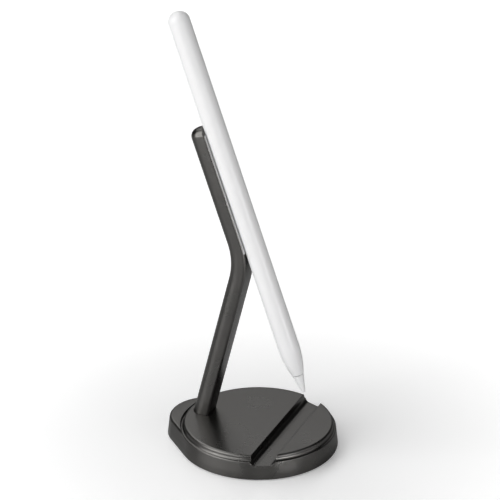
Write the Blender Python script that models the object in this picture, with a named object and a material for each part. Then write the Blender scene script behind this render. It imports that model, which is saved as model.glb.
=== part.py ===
"""Charging stand for a stylus, modelled as the assembly of pieces that it is made of.

Units are metres, Z is up and the front, where a tablet leans in the groove, faces -Y. The origin lies on
the floor under the middle of the raised disc. The stand is symmetric about the plane X = 0.
"""
import math

import bmesh
import bpy
from mathutils import Vector

# Clearances
GAP = 0.0003                  # between pieces that rest on or fit round each other
SOLDER_GAP = 0.0001           # between small parts and the board or piece that carries them
OVERRUN = 0.004               # how far a cutter runs past the face that it opens

# Base housing, a drafted casting with a pear outline: a big circle and a small one behind it
LEDGE_RADIUS = 0.0327         # the big circle at the ledge
LOBE_RADIUS = 0.0170          # the small circle at the ledge
LOBE_REACH = 0.0067           # how far the small circle stands out behind the big one
PAD_PROUD = 0.0004            # the foot pad stands below the housing by this
HOUSING_HEIGHT = 0.0076
WALL_DRAFT = 0.0009           # how much wider the outline is at the floor than at the ledge
LEDGE_ROUND = 0.0005
BOTTOM_CHAMFER = 0.0003
LOBE_RISE = 0.0007            # of the lobe's top above the ledge
MOAT_WIDTH = 0.00035          # of the channel between the ledge's edge and the raised lobe
MOAT_DEPTH = 0.0004
MOAT_TURN = math.radians(72.0)  # how far the ledge's edge turns down before the channel's floor
RIM_WIDTH = 0.0027            # from the ledge's outline in to the cavity
LOBE_ROOF = 0.0011
SHELF_THICKNESS = 0.0022
SHELF_WIDTH = 0.0045          # of the inner shelf that carries the disc

# Raised disc with the tablet groove
LEDGE_WIDTH = 0.0012          # of the ledge left bare round the disc
DISC_FLANGE = 0.0020
DISC_ROUND = 0.0010
DISC_FALL = 0.0013            # height of the rounded edge

# Groove across the disc and the housing's rim
GROOVE_REAR_Y = -0.00895
GROOVE_WIDTH = 0.0096
GROOVE_DEPTH = 0.0039
GROOVE_ROUND = 0.0021
GROOVE_DRAFT = 0.00025

# Bent post of D section
POST_HALF_WIDTH = 0.00478
POST_DEPTH = 0.00771
POST_CORNER = 0.0010
POST_MARGIN = 0.00129         # from the back of the post to the edge of the disc's flat top
POST_POCKET = 0.0010          # depth of the disc's pocket for the foot
LOWER_LEAN = math.radians(14.46)
UPPER_LEAN = math.radians(19.61)
LOWER_LENGTH = 0.07441        # along the front, from the disc to where the two front lines meet
UPPER_LENGTH = 0.0593
BEND_RADIUS = 0.0332          # of the front face
END_ROUND = 0.0034            # of the top end, all round the section
END_CORNER = 0.0001           # least corner radius of the section where the end rounds off
BORE_RADIUS = 0.0011
BORE_DEPTH = 0.0052           # of the wire bore's centre behind the front face

# Cradle in the upper part of the post
NEST_DEPTH = 0.00123          # how far the stylus lies behind the post's front face
PAD_HALF_WIDTH = 0.0034
PAD_BACK_DEPTH = 0.0024       # of the charging pad's back behind the front face
PAD_RIM_DEPTH = 0.0009        # of the pad's wider rim
PAD_LIP_WIDTH = 0.00048       # of the metal left outside the rim's pocket
PAD_LENGTH = 0.0515
PAD_TOP_MARGIN = 0.0030
CHANNEL_RUN = 0.0180          # the scooped channel runs below the pad by this
COIL_POCKET_HALF_WIDTH = 0.0032
COIL_POCKET_DEPTH = 0.0049
COIL_POCKET_MARGIN = 0.0024   # from the pad's ends to the coil pocket's
COIL_LENGTH = 0.0300
COIL_HALF_WIDTH = 0.0027
COIL_THICKNESS = 0.0006
COIL_BAND = 0.0014
FERRITE_THICKNESS = 0.0006
MAGNET_LENGTH = 0.0060
MAGNET_HALF_WIDTH = 0.0028
MAGNET_THICKNESS = 0.0018
MAGNET_INSET = 0.0010         # from the coil pocket's end

# Foot pad and bottom cover
FOOT_PAD_THICKNESS = 0.0009
FOOT_PAD_INSET = 0.0005
COVER_THICKNESS = 0.0010
BALLAST_HALF_GAP = 0.0010     # from the ballast's rear edge to the board

# Screws
COVER_SCREW_RADIUS = 0.0008
COVER_HEAD_RADIUS = 0.0017
COVER_HEAD_HEIGHT = 0.0007
COVER_SCREW_ANGLES = (45.0, 135.0, 225.0, 315.0)
DISC_SCREW_RADIUS = 0.0008
DISC_HEAD_RADIUS = 0.0017
DISC_HEAD_HEIGHT = 0.0009
DISC_SCREW_GRIP = 0.0030
DISC_SCREW_ANGLES = (15.0, 165.0, 270.0)
BOLT_RADIUS = 0.0010
BOLT_HEAD_RADIUS = 0.0019
BOLT_HEAD_HEIGHT = 0.0012
BOLT_GRIP = 0.0080            # of the bolt in the post
BOLT_X = 0.0026
BOLT_DEPTH = 0.0019           # of the bolt behind the post's front face at the foot
BOARD_SCREW_RADIUS = 0.0007
BOARD_HEAD_RADIUS = 0.0013
BOARD_HEAD_HEIGHT = 0.0004
BOARD_SCREW_GRIP = 0.0024
SOCKET_SHARE = 0.45           # of a screw head's radius and height that its socket takes

# Board and what is on it
BOARD_CLEARANCE = 0.0007      # above the bottom cover
BOARD_THICKNESS = 0.0008
BOARD_INSET = 0.0007          # from the cavity's wall
BOARD_FRONT_REACH = 0.0099    # of the board in front of the lobe's centre
BOSS_RADIUS = 0.0017
BOSS_MARGIN = 0.0006          # from a boss to the cavity's wall
BOSS_ANGLE = math.radians(43.0)
CONTROLLER_SIZE = (0.0040, 0.0040, 0.0007)
CONTROLLER_X = -0.0060
INDUCTOR_SIZE = (0.0036, 0.0036, 0.0008)
INDUCTOR_X = 0.0060
CONNECTOR_SIZE = (0.0050, 0.0030, 0.0008)
LEAD_RADIUS = 0.0006

# Power inlet
USB_WIDTH = 0.00894
USB_HEIGHT = 0.00316
USB_CORNER = 0.0013
USB_DEPTH = 0.0073
USB_WALL = 0.0003
USB_SINK = 0.0003             # the receptacle sits this deep in the board
USB_RECESS = 0.0007           # of its mouth inside the housing's outside
USB_BACK_WALL = 0.0008
TONGUE_WIDTH = 0.0066
TONGUE_THICKNESS = 0.0007
TONGUE_LENGTH = 0.0055

# Stylus
STYLUS_RADIUS = 0.00445
STYLUS_LENGTH = 0.1660
STYLUS_BELOW_BEND = 0.0595    # from the meeting point of the post's front lines down to the tip
STYLUS_SEAT_GAP = 0.0003
STYLUS_WALL = 0.00075
DOME_HEIGHT = 0.0041
NOSE_LENGTH = 0.0216
NOSE_CURVE = 2.3              # how roundly the nose swells
TIP_LENGTH = 0.0080
TIP_RADIUS = 0.0024           # at its joint with the nose
TIP_END_RADIUS = 0.0009
NOSE_BORE_RADIUS = 0.0012
STUD_RADIUS = 0.0009
STUD_LENGTH = 0.0150
STUD_INSET = 0.0035           # of the stud's end above the tip's end
BATTERY_RADIUS = 0.0033
BATTERY_START = 0.0240
BATTERY_LENGTH = 0.0400
STYLUS_BOARD_MARGIN = 0.0039  # from the board to the dome
STYLUS_BOARD_LENGTH = 0.0400
STYLUS_BOARD_HALF_WIDTH = 0.0034
STYLUS_BOARD_THICKNESS = 0.0008
RECEIVE_COIL_HALF_WIDTH = 0.0026
RECEIVE_COIL_OFFSET = 0.0017  # of the coil's back behind the stylus's axis
STYLUS_MAGNET_HALF_WIDTH = 0.0026
STYLUS_MAGNET_THICKNESS = 0.0009

# How finely curves are divided
MAIN_STEPS = 56
LOBE_STEPS = 16
DISC_STEPS = 72
STYLUS_STEPS = 32
SCREW_STEPS = 16
BACK_STEPS = 14
BEND_STEPS = 10
CORNER_STEPS = 3
ROUND_STEPS = 3
END_STEPS = 6

# Levels and places worked out from the sizes above
COVER_BOTTOM = FOOT_PAD_THICKNESS + GAP
COVER_TOP = COVER_BOTTOM + COVER_THICKNESS
SHELF_BOTTOM = COVER_TOP + GAP
SHELF_TOP = SHELF_BOTTOM + SHELF_THICKNESS
SPIGOT_LEVEL = SHELF_TOP + GAP
LEDGE_LEVEL = PAD_PROUD + HOUSING_HEIGHT
FLANGE_LEVEL = LEDGE_LEVEL + GAP
DISC_TOP = FLANGE_LEVEL + DISC_FLANGE
ROOF_LEVEL = LEDGE_LEVEL - LOBE_ROOF
LOBE_LEVEL = LEDGE_LEVEL + LOBE_RISE
MOAT_RADIUS = LEDGE_RADIUS + MOAT_WIDTH
GROOVE_FLOOR = DISC_TOP - GROOVE_DEPTH
FOOT_LEVEL = DISC_TOP - POST_POCKET + GAP
BOARD_BOTTOM = COVER_TOP + BOARD_CLEARANCE
BOARD_TOP = BOARD_BOTTOM + BOARD_THICKNESS
RECESS_RADIUS = LEDGE_RADIUS - RIM_WIDTH
SPIGOT_RADIUS = RECESS_RADIUS - GAP
WELL_RADIUS = RECESS_RADIUS - SHELF_WIDTH
SCREW_CIRCLE = (RECESS_RADIUS + WELL_RADIUS) / 2
DISC_RADIUS = LEDGE_RADIUS - LEDGE_WIDTH
LOBE_Y = LEDGE_RADIUS + LOBE_REACH - LOBE_RADIUS
LOBE_CAVITY_RADIUS = LOBE_RADIUS - RIM_WIDTH
BOARD_FRONT_Y = LOBE_Y - BOARD_FRONT_REACH
BOSS_CIRCLE = LOBE_CAVITY_RADIUS - BOSS_RADIUS - BOSS_MARGIN
BOSS_X = BOSS_CIRCLE * math.cos(BOSS_ANGLE)
BOSS_Y = LOBE_Y + BOSS_CIRCLE * math.sin(BOSS_ANGLE)
POST_FOOT_Y = DISC_RADIUS - DISC_ROUND - POST_MARGIN - POST_DEPTH / math.cos(LOWER_LEAN)
AXIS_TO_FRONT = STYLUS_RADIUS - NEST_DEPTH
PAD_RIM_HALF_WIDTH = POST_HALF_WIDTH - PAD_LIP_WIDTH - GAP

ACROSS = Vector((1.0, 0.0, 0.0))


def clear_scene():
    """Remove every object, so that the script can run in a scene that holds something."""
    for item in list(bpy.data.objects):
        bpy.data.objects.remove(item, do_unlink=True)


def make_material(name, colour, roughness, metallic):
    """A plain Principled material."""
    material = bpy.data.materials.new(name)
    material.use_nodes = True
    shader = material.node_tree.nodes["Principled BSDF"]
    shader.inputs["Base Color"].default_value = (*colour, 1.0)
    shader.inputs["Roughness"].default_value = roughness
    shader.inputs["Metallic"].default_value = metallic
    return material


def gunmetal(name):
    """Dark satin metal of the outside pieces."""
    return make_material(name, (0.085, 0.083, 0.079), 0.33, 1.0)


def steel(name):
    """Bright steel of screws and plates."""
    return make_material(name, (0.55, 0.55, 0.54), 0.35, 1.0)


def white_plastic(name):
    """Matte white plastic of the stylus."""
    return make_material(name, (0.86, 0.86, 0.86), 0.38, 0.0)


def dark_plastic(name):
    """Dark moulded plastic."""
    return make_material(name, (0.05, 0.05, 0.055), 0.5, 0.0)


def silicone(name):
    """Soft grey silicone."""
    return make_material(name, (0.10, 0.10, 0.105), 0.75, 0.0)


def pad_silicone(name):
    """Soft light grey silicone."""
    return make_material(name, (0.38, 0.38, 0.38), 0.5, 0.0)


def laminate(name):
    """Green board laminate."""
    return make_material(name, (0.03, 0.17, 0.08), 0.45, 0.0)


def copper(name):
    """Bare copper of windings."""
    return make_material(name, (0.72, 0.38, 0.22), 0.4, 1.0)


def dark_ceramic(name):
    """Pressed ferrite or a chip's package."""
    return make_material(name, (0.035, 0.035, 0.038), 0.6, 0.0)


def nickel(name):
    """Nickel plate of magnets and the inlet's shell."""
    return make_material(name, (0.62, 0.60, 0.56), 0.25, 1.0)


def add_frame(name, origin, lean):
    """An empty at a point, turned so that its Z runs along a leg that leans back by an angle."""
    frame = bpy.data.objects.new(name, None)
    bpy.context.scene.collection.objects.link(frame)
    frame.location = origin
    frame.rotation_euler = (-lean, 0.0, 0.0)
    return frame


def add_object(name, mesh_data, material, smooth=True):
    """Turn a bmesh into a named object with its own material."""
    bmesh.ops.recalc_face_normals(mesh_data, faces=mesh_data.faces)
    mesh = bpy.data.meshes.new(name)
    mesh_data.to_mesh(mesh)
    mesh_data.free()
    if smooth:
        mesh.shade_smooth()
        mesh.set_sharp_from_angle(angle=math.radians(35.0))
    piece = bpy.data.objects.new(name, mesh)
    bpy.context.scene.collection.objects.link(piece)
    if material is not None:
        mesh.materials.append(material)
    return piece


def loft(loops):
    """A closed body through loops of equally many points, with a flat cap on each end."""
    body = bmesh.new()
    rows = [[body.verts.new(point) for point in loop] for loop in loops]
    count = len(rows[0])
    for lower, upper in zip(rows, rows[1:]):
        for index in range(count):
            following = (index + 1) % count
            body.faces.new((lower[index], lower[following], upper[following], upper[index]))
    body.faces.new(rows[0])
    body.faces.new(rows[-1])
    return body


def prism(outline, bottom, top):
    """An upright prism over an outline of (x, y) points."""
    return loft([[Vector((x, y, level)) for x, y in outline] for level in (bottom, top)])


def arc(centre, radius, start, end, steps):
    """Points (a, b) on an arc between two angles in degrees, both ends counted."""
    turns = [math.radians(start + (end - start) * step / steps) for step in range(steps + 1)]
    return [(centre[0] + radius * math.cos(turn), centre[1] + radius * math.sin(turn)) for turn in turns]


def ring(centre, radius, steps):
    """Points (a, b) all round a circle."""
    return arc(centre, radius, 0.0, 360.0, steps)[:-1]


def rectangle(half_a, half_b, centre=(0.0, 0.0)):
    """The four corners (a, b) of a rectangle."""
    a, b = centre
    return [(a - half_a, b - half_b), (a + half_a, b - half_b),
            (a + half_a, b + half_b), (a - half_a, b + half_b)]


def rounded_rectangle(half_a, half_b, radius, steps=CORNER_STEPS):
    """Points (a, b) of a rectangle with round corners."""
    corners = ((1, 1, 0.0), (-1, 1, 90.0), (-1, -1, 180.0), (1, -1, 270.0))
    points = []
    for sign_a, sign_b, start in corners:
        centre = (sign_a * (half_a - radius), sign_b * (half_b - radius))
        points += arc(centre, radius, start, start + 90.0, steps)
    return points


def block(size):
    """A box of size (x, y, z) that stands on its origin."""
    return prism(rectangle(size[0] / 2, size[1] / 2), 0.0, size[2])


def turned(profile, steps):
    """A body turned about Z. The profile holds (radius, height) and starts and ends off the axis."""
    return loft([[Vector((x, y, height)) for x, y in ring((0.0, 0.0), radius, steps)]
                 for radius, height in profile])


def hollow_turned(outer, inner, steps):
    """A wall turned about Z, outside profile first and then the inside one back to the same end."""
    body = bmesh.new()
    rows = []
    for radius, height in outer + inner[::-1]:
        if radius == 0.0:
            rows.append([body.verts.new((0.0, 0.0, height))])
        else:
            rows.append([body.verts.new((x, y, height)) for x, y in ring((0.0, 0.0), radius, steps)])
    for lower, upper in zip(rows, rows[1:] + rows[:1]):
        if len(lower) == 1 and len(upper) == 1:
            continue
        for index in range(steps):
            following = (index + 1) % steps
            corners = [lower[index % len(lower)], lower[following % len(lower)],
                       upper[following % len(upper)], upper[index % len(upper)]]
            body.faces.new(list(dict.fromkeys(corners)))
    return body


def cylinder(radius, place, bottom, top, steps=SCREW_STEPS):
    """An upright cylinder over a place (x, y)."""
    return prism(ring(place, radius, steps), bottom, top)


def cutter(name, mesh_data):
    """A body that only cuts others."""
    piece = add_object(name, mesh_data, None, smooth=False)
    piece.hide_render = True
    piece.display_type = "WIRE"
    return piece


def combine(piece, others, operation="DIFFERENCE"):
    """Cut bodies out of a piece, or join them to it."""
    for other in others:
        modifier = piece.modifiers.new(other.name, "BOOLEAN")
        modifier.operation = operation
        modifier.solver = "EXACT"
        modifier.object = other


def on_circle(radius, angle):
    """The place (x, y) at an angle in degrees on a circle round the disc's centre."""
    return (radius * math.cos(math.radians(angle)), radius * math.sin(math.radians(angle)))


# Outlines of the base


def pear_outline(offset):
    """The base's outline at an offset from the ledge's: two circles and the tangents between them."""
    main = LEDGE_RADIUS + offset
    lobe = LOBE_RADIUS + offset
    spread = math.degrees(math.acos((main - lobe) / LOBE_Y))
    around = arc((0.0, 0.0), main, 90.0 + spread, 450.0 - spread, MAIN_STEPS)
    behind = arc((0.0, LOBE_Y), lobe, 90.0 - spread, 90.0 + spread, LOBE_STEPS)
    return around + behind


def lobe_outline(radius, front_y):
    """A round-ended strip inside the lobe, straight in front."""
    end = arc((0.0, LOBE_Y), radius, 0.0, 180.0, LOBE_STEPS)
    return [(radius, front_y)] + end + [(-radius, front_y)]


def groove_outline():
    """The tablet groove's section in (y, z), open at the top."""
    front_y = GROOVE_REAR_Y - GROOVE_WIDTH
    rear = GROOVE_REAR_Y - GROOVE_DRAFT
    front = front_y + GROOVE_DRAFT
    level = GROOVE_FLOOR + GROOVE_ROUND
    top = DISC_TOP + OVERRUN
    steps = CORNER_STEPS + CORNER_STEPS
    floor_rear = arc((rear - GROOVE_ROUND, level), GROOVE_ROUND, 0.0, -90.0, steps)
    floor_front = arc((front + GROOVE_ROUND, level), GROOVE_ROUND, -90.0, -180.0, steps)
    return [(GROOVE_REAR_Y, top), (GROOVE_REAR_Y, DISC_TOP)] + floor_rear + floor_front + \
        [(front_y, DISC_TOP), (front_y, top)]


def groove_cutter(name):
    """The groove as a bar that runs out of both sides of the base."""
    reach = LEDGE_RADIUS + OVERRUN
    return cutter(name, loft([[Vector((x, y, z)) for y, z in groove_outline()] for x in (-reach, reach)]))


# Frames of the post


def along_leg(lean):
    """Upward direction of a leg that leans back by an angle."""
    return Vector((0.0, math.sin(lean), math.cos(lean)))


def behind_leg(lean):
    """Backward direction, square to a leg that leans back by an angle."""
    return Vector((0.0, math.cos(lean), -math.sin(lean)))


FOOT = Vector((0.0, POST_FOOT_Y, DISC_TOP))
LOWER_UP = along_leg(-LOWER_LEAN)
UPPER_UP = along_leg(UPPER_LEAN)
UPPER_BACK = behind_leg(UPPER_LEAN)
FRONT_MEETING = FOOT + LOWER_UP * LOWER_LENGTH
BEND_CUT = BEND_RADIUS * math.tan((UPPER_LEAN + LOWER_LEAN) / 2)
BEND_START = FRONT_MEETING - LOWER_UP * BEND_CUT
BEND_CENTRE = BEND_START + behind_leg(-LOWER_LEAN) * BEND_RADIUS
STYLUS_TIP = FRONT_MEETING - UPPER_UP * STYLUS_BELOW_BEND - UPPER_BACK * AXIS_TO_FRONT
BEND_END = STYLUS_BELOW_BEND + BEND_CUT       # distances along the stylus from its tip start here
POST_END = STYLUS_BELOW_BEND + UPPER_LENGTH
PAD_END = POST_END - PAD_TOP_MARGIN
PAD_START = PAD_END - PAD_LENGTH
COIL_POCKET_START = PAD_START + COIL_POCKET_MARGIN
COIL_POCKET_END = PAD_END - COIL_POCKET_MARGIN


def bend_stations():
    """Points of the post's front line round the bend, each with the leg's lean there."""
    turn = UPPER_LEAN + LOWER_LEAN
    leans = [turn * step / BEND_STEPS - LOWER_LEAN for step in range(BEND_STEPS + 1)]
    return [(BEND_CENTRE - behind_leg(lean) * BEND_RADIUS, lean) for lean in leans]


def beside_stylus(along, across, behind):
    """A point given along the stylus from its tip, across it and behind its axis."""
    return STYLUS_TIP + UPPER_UP * along + ACROSS * across + UPPER_BACK * behind


def behind_front(outline, start, end):
    """A prism in the stylus's frame over an outline (across, behind the post's front face)."""
    return prism([(a, AXIS_TO_FRONT + b) for a, b in outline], start, end)


def post_section(inset):
    """The post's D section (across, behind the front), drawn in by an inset."""
    half = POST_HALF_WIDTH - inset
    radius = max(POST_CORNER - inset, END_CORNER)
    middle = POST_DEPTH - POST_HALF_WIDTH
    start = math.asin(max(inset + radius - middle, 0.0) / half)
    side = half * math.cos(start)
    right = arc((side - radius, inset + radius), radius, -90.0, 0.0, CORNER_STEPS)
    back = arc((0.0, middle), half, math.degrees(start), 180.0 - math.degrees(start), BACK_STEPS)
    left = arc((radius - side, inset + radius), radius, 180.0, 270.0, CORNER_STEPS)
    return right + back + left


def corner_drop(across):
    """How far the post's rounded corner falls behind its front face at a distance from the middle."""
    past = max(across - (POST_HALF_WIDTH - POST_CORNER), 0.0)
    return POST_CORNER - math.sqrt(POST_CORNER ** 2 - past ** 2)


def section_loop(point, lean, section):
    """A section's points where the front line passes a point with a lean."""
    back = behind_leg(lean)
    return [point + ACROSS * a + back * b for a, b in section]


def level_loop(section, level):
    """The lower leg's section, slid along the leg to a level."""
    back = behind_leg(-LOWER_LEAN)
    loop = []
    for a, b in section:
        point = FOOT + ACROSS * a + back * b
        loop.append(point + LOWER_UP * ((level - point.z) / LOWER_UP.z))
    return loop


def foot_place(across, depth, level):
    """The place (x, y) at a depth behind the front of the lower leg, at a level."""
    point = level_loop([(across, depth)], level)[0]
    return (point.x, point.y)


def bore_path(start, run):
    """Points of the bore's centre line, from a start, round the bend and into the coil pocket by a run."""
    points = [start]
    points += [point + behind_leg(lean) * BORE_DEPTH for point, lean in bend_stations()]
    points.append(beside_stylus(BEND_END + run, 0.0, AXIS_TO_FRONT + BORE_DEPTH))
    return points


def tube(points, radius, steps):
    """A round bar along points that lie in the plane of symmetry."""
    loops = []
    for index, point in enumerate(points):
        before = points[max(index - 1, 0)]
        after = points[min(index + 1, len(points) - 1)]
        aside = (after - before).normalized().cross(ACROSS)
        loops.append([point + ACROSS * a + aside * b for a, b in ring((0.0, 0.0), radius, steps)])
    return loft(loops)


# Base pieces


def ledge_cutter(name):
    """What lies above the ledge inside the raised lobe, over the ledge's rounded edge and the channel."""
    middle = LEDGE_RADIUS - LEDGE_ROUND
    profile = []
    for step in range(ROUND_STEPS + 1):
        turn = MOAT_TURN * step / ROUND_STEPS
        level = LEDGE_LEVEL - LEDGE_ROUND * (1.0 - math.cos(turn))
        profile.append((middle + LEDGE_ROUND * math.sin(turn), level))
    profile += [(MOAT_RADIUS, LEDGE_LEVEL - MOAT_DEPTH), (MOAT_RADIUS, LOBE_LEVEL + OVERRUN)]
    return cutter(name, turned(profile, MAIN_STEPS + MAIN_STEPS))


def build_base_housing():
    """Cast housing: drafted pear wall, raised lobe, shelf for the disc, board bosses and the inlet's hole."""
    loops = [(PAD_PROUD, WALL_DRAFT - BOTTOM_CHAMFER), (PAD_PROUD + BOTTOM_CHAMFER, WALL_DRAFT)]
    for step in range(ROUND_STEPS + 1):
        turn = math.radians(90.0) * step / ROUND_STEPS
        level = LOBE_LEVEL - LEDGE_ROUND * (1.0 - math.sin(turn))
        loops.append((level, -LEDGE_ROUND * (1.0 - math.cos(turn))))
    body = loft([[Vector((x, y, level)) for x, y in pear_outline(offset)] for level, offset in loops])
    housing = add_object("base_housing", body, gunmetal("base_housing_metal"))

    mouth = cutter("cut_mouth", prism(pear_outline(-RIM_WIDTH), PAD_PROUD - OVERRUN, SHELF_BOTTOM))
    hole = prism(ring((0.0, 0.0), WELL_RADIUS, DISC_STEPS), SHELF_BOTTOM - GAP, SHELF_TOP + GAP)
    well = cutter("cut_well", hole)
    above = LOBE_LEVEL + OVERRUN
    recess = cutter("cut_recess", prism(ring((0.0, 0.0), RECESS_RADIUS, DISC_STEPS), SHELF_TOP, above))
    lobe = cutter("cut_lobe", prism(lobe_outline(LOBE_CAVITY_RADIUS, BOARD_FRONT_Y - GAP),
                                    SHELF_BOTTOM - GAP, ROOF_LEVEL))
    combine(housing, [mouth, well, recess, lobe])

    bosses = []
    for number, side in enumerate((-1, 1), start=1):
        place = (side * BOSS_X, BOSS_Y)
        body = cylinder(BOSS_RADIUS, place, BOARD_TOP + GAP, ROOF_LEVEL + LOBE_ROOF / 2)
        bosses.append(cutter("boss_%d" % number, body))
    combine(housing, bosses, "UNION")

    half_width = USB_WIDTH / 2 + GAP
    half_height = USB_HEIGHT / 2 + GAP
    port = rounded_rectangle(half_width, half_height, USB_CORNER + GAP)
    middle = BOARD_TOP - USB_SINK + USB_HEIGHT / 2
    far = LOBE_Y + LOBE_RADIUS + OVERRUN
    near = LOBE_Y + LOBE_CAVITY_RADIUS - OVERRUN / 2
    opening = cutter("cut_port", loft([[Vector((a, y, middle + b)) for a, b in port] for y in (near, far)]))
    cuts = [opening, ledge_cutter("cut_ledge"), groove_cutter("cut_rim_groove")]

    for number, angle in enumerate(COVER_SCREW_ANGLES, start=1):
        place = on_circle(SCREW_CIRCLE, angle)
        hole = cylinder(COVER_SCREW_RADIUS + GAP, place, SHELF_BOTTOM - GAP, SHELF_TOP + GAP)
        cuts.append(cutter("cut_cover_screw_%d" % number, hole))
    for number, angle in enumerate(DISC_SCREW_ANGLES, start=1):
        place = on_circle(SCREW_CIRCLE, angle)
        hole = cylinder(DISC_SCREW_RADIUS + GAP, place, SHELF_BOTTOM - GAP, SHELF_TOP + GAP)
        depth = SHELF_BOTTOM + DISC_HEAD_HEIGHT + GAP
        sink = cylinder(DISC_HEAD_RADIUS + GAP, place, SHELF_BOTTOM - GAP, depth)
        cuts += [cutter("cut_disc_screw_%d" % number, hole), cutter("cut_disc_head_%d" % number, sink)]
    for number, side in enumerate((-1, 1), start=1):
        depth = BOARD_TOP + BOARD_SCREW_GRIP + GAP
        hole = cylinder(BOARD_SCREW_RADIUS + GAP, (side * BOSS_X, BOSS_Y), BOARD_TOP, depth)
        cuts.append(cutter("cut_board_screw_%d" % number, hole))
    combine(housing, cuts)


def build_top_disc():
    """Turned disc on a spigot, with the groove, the post's pocket and holes for bolts, wire and screws."""
    profile = [(SPIGOT_RADIUS, SPIGOT_LEVEL), (SPIGOT_RADIUS, FLANGE_LEVEL), (DISC_RADIUS, FLANGE_LEVEL)]
    for step in range(ROUND_STEPS + 2):
        turn = math.radians(90.0) * step / (ROUND_STEPS + 1)
        radius = DISC_RADIUS - DISC_ROUND * (1.0 - math.cos(turn))
        profile.append((radius, DISC_TOP - DISC_FALL * (1.0 - math.sin(turn))))
    disc = add_object("top_disc", turned(profile, DISC_STEPS), gunmetal("top_disc_metal"))

    section = post_section(-GAP)
    floor = DISC_TOP - POST_POCKET
    pocket = loft([level_loop(section, floor), level_loop(section, DISC_TOP + OVERRUN)])
    cuts = [groove_cutter("cut_groove"), cutter("cut_post_pocket", pocket)]
    wire = foot_place(0.0, BORE_DEPTH, FOOT_LEVEL)
    hole = cylinder(BORE_RADIUS + GAP, wire, SPIGOT_LEVEL - OVERRUN, floor + GAP)
    cuts.append(cutter("cut_wire_hole", hole))
    for number, side in enumerate((-1, 1), start=1):
        place = foot_place(side * BOLT_X, BOLT_DEPTH, FOOT_LEVEL)
        hole = cylinder(BOLT_RADIUS + GAP, place, SPIGOT_LEVEL, floor + GAP)
        depth = SPIGOT_LEVEL + BOLT_HEAD_HEIGHT + GAP + GAP
        sink = cylinder(BOLT_HEAD_RADIUS + GAP, place, SPIGOT_LEVEL - OVERRUN, depth)
        cuts += [cutter("cut_bolt_%d" % number, hole), cutter("cut_bolt_head_%d" % number, sink)]
    for number, angle in enumerate(DISC_SCREW_ANGLES, start=1):
        place = on_circle(SCREW_CIRCLE, angle)
        depth = SPIGOT_LEVEL + DISC_SCREW_GRIP + GAP
        hole = cylinder(DISC_SCREW_RADIUS + GAP, place, SPIGOT_LEVEL - OVERRUN, depth)
        cuts.append(cutter("cut_disc_thread_%d" % number, hole))
    combine(disc, cuts)


def build_ballast_plate():
    """Steel weight under the disc, straight at the rear beside the board."""
    radius = WELL_RADIUS - GAP
    rear = BOARD_FRONT_Y - GAP - BALLAST_HALF_GAP
    limit = math.degrees(math.asin(rear / radius))
    outline = arc((0.0, 0.0), radius, 180.0 - limit, 360.0 + limit, MAIN_STEPS // 2)
    add_object("ballast_plate", prism(outline, SHELF_BOTTOM, SHELF_TOP), steel("ballast_steel"))


def build_bottom_cover():
    """Steel cover that closes the housing from below."""
    cover = add_object("bottom_cover", prism(pear_outline(-RIM_WIDTH - GAP), COVER_BOTTOM, COVER_TOP),
                       steel("cover_steel"))
    cuts = []
    for number, angle in enumerate(COVER_SCREW_ANGLES, start=1):
        hole = cylinder(COVER_SCREW_RADIUS + GAP, on_circle(SCREW_CIRCLE, angle),
                        COVER_BOTTOM - GAP, COVER_TOP + GAP)
        cuts.append(cutter("cut_cover_hole_%d" % number, hole))
    combine(cover, cuts)


def build_foot_pad():
    """Soft pad that the stand rests on, with a hole for each screw head."""
    outline = pear_outline(-RIM_WIDTH - GAP - FOOT_PAD_INSET)
    pad = add_object("foot_pad", prism(outline, 0.0, FOOT_PAD_THICKNESS), silicone("foot_pad_silicone"))
    cuts = []
    for number, angle in enumerate(COVER_SCREW_ANGLES, start=1):
        hole = cylinder(COVER_HEAD_RADIUS + GAP, on_circle(SCREW_CIRCLE, angle), -OVERRUN, COVER_BOTTOM)
        cuts.append(cutter("cut_pad_hole_%d" % number, hole))
    combine(pad, cuts)


def build_screw(name, place, seat, radius, head_radius, head_height, length):
    """A screw seated at a level, its head below with a socket in it and its plain shank above."""
    socket = head_radius * SOCKET_SHARE
    depth = head_height * SOCKET_SHARE
    head = [(socket, depth - head_height), (socket, -head_height), (head_radius - depth / 2, -head_height),
            (head_radius, depth / 2 - head_height), (head_radius, 0.0)]
    shank = [(radius, 0.0), (radius, length - radius / 2), (radius / 2, length)]
    screw = add_object(name, turned(head + shank, SCREW_STEPS), steel(name + "_steel"))
    screw.location = (place[0], place[1], seat)


def build_screws():
    """Cover screws, disc screws, board screws and the post's bolts."""
    for number, angle in enumerate(COVER_SCREW_ANGLES, start=1):
        seat = COVER_BOTTOM - SOLDER_GAP
        build_screw("cover_screw_%d" % number, on_circle(SCREW_CIRCLE, angle), seat, COVER_SCREW_RADIUS,
                    COVER_HEAD_RADIUS, COVER_HEAD_HEIGHT, SHELF_TOP - GAP - seat)
    for number, angle in enumerate(DISC_SCREW_ANGLES, start=1):
        seat = SHELF_BOTTOM + DISC_HEAD_HEIGHT
        build_screw("disc_screw_%d" % number, on_circle(SCREW_CIRCLE, angle), seat, DISC_SCREW_RADIUS,
                    DISC_HEAD_RADIUS, DISC_HEAD_HEIGHT, SPIGOT_LEVEL + DISC_SCREW_GRIP - seat)
    for number, side in enumerate((-1, 1), start=1):
        seat = BOARD_BOTTOM - SOLDER_GAP
        build_screw("board_screw_%d" % number, (side * BOSS_X, BOSS_Y), seat, BOARD_SCREW_RADIUS,
                    BOARD_HEAD_RADIUS, BOARD_HEAD_HEIGHT, BOARD_TOP + BOARD_SCREW_GRIP - seat)
        seat = SPIGOT_LEVEL + BOLT_HEAD_HEIGHT + GAP
        build_screw("post_bolt_%d" % number, foot_place(side * BOLT_X, BOLT_DEPTH, FOOT_LEVEL), seat,
                    BOLT_RADIUS, BOLT_HEAD_RADIUS, BOLT_HEAD_HEIGHT, FOOT_LEVEL + BOLT_GRIP - seat)


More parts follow.
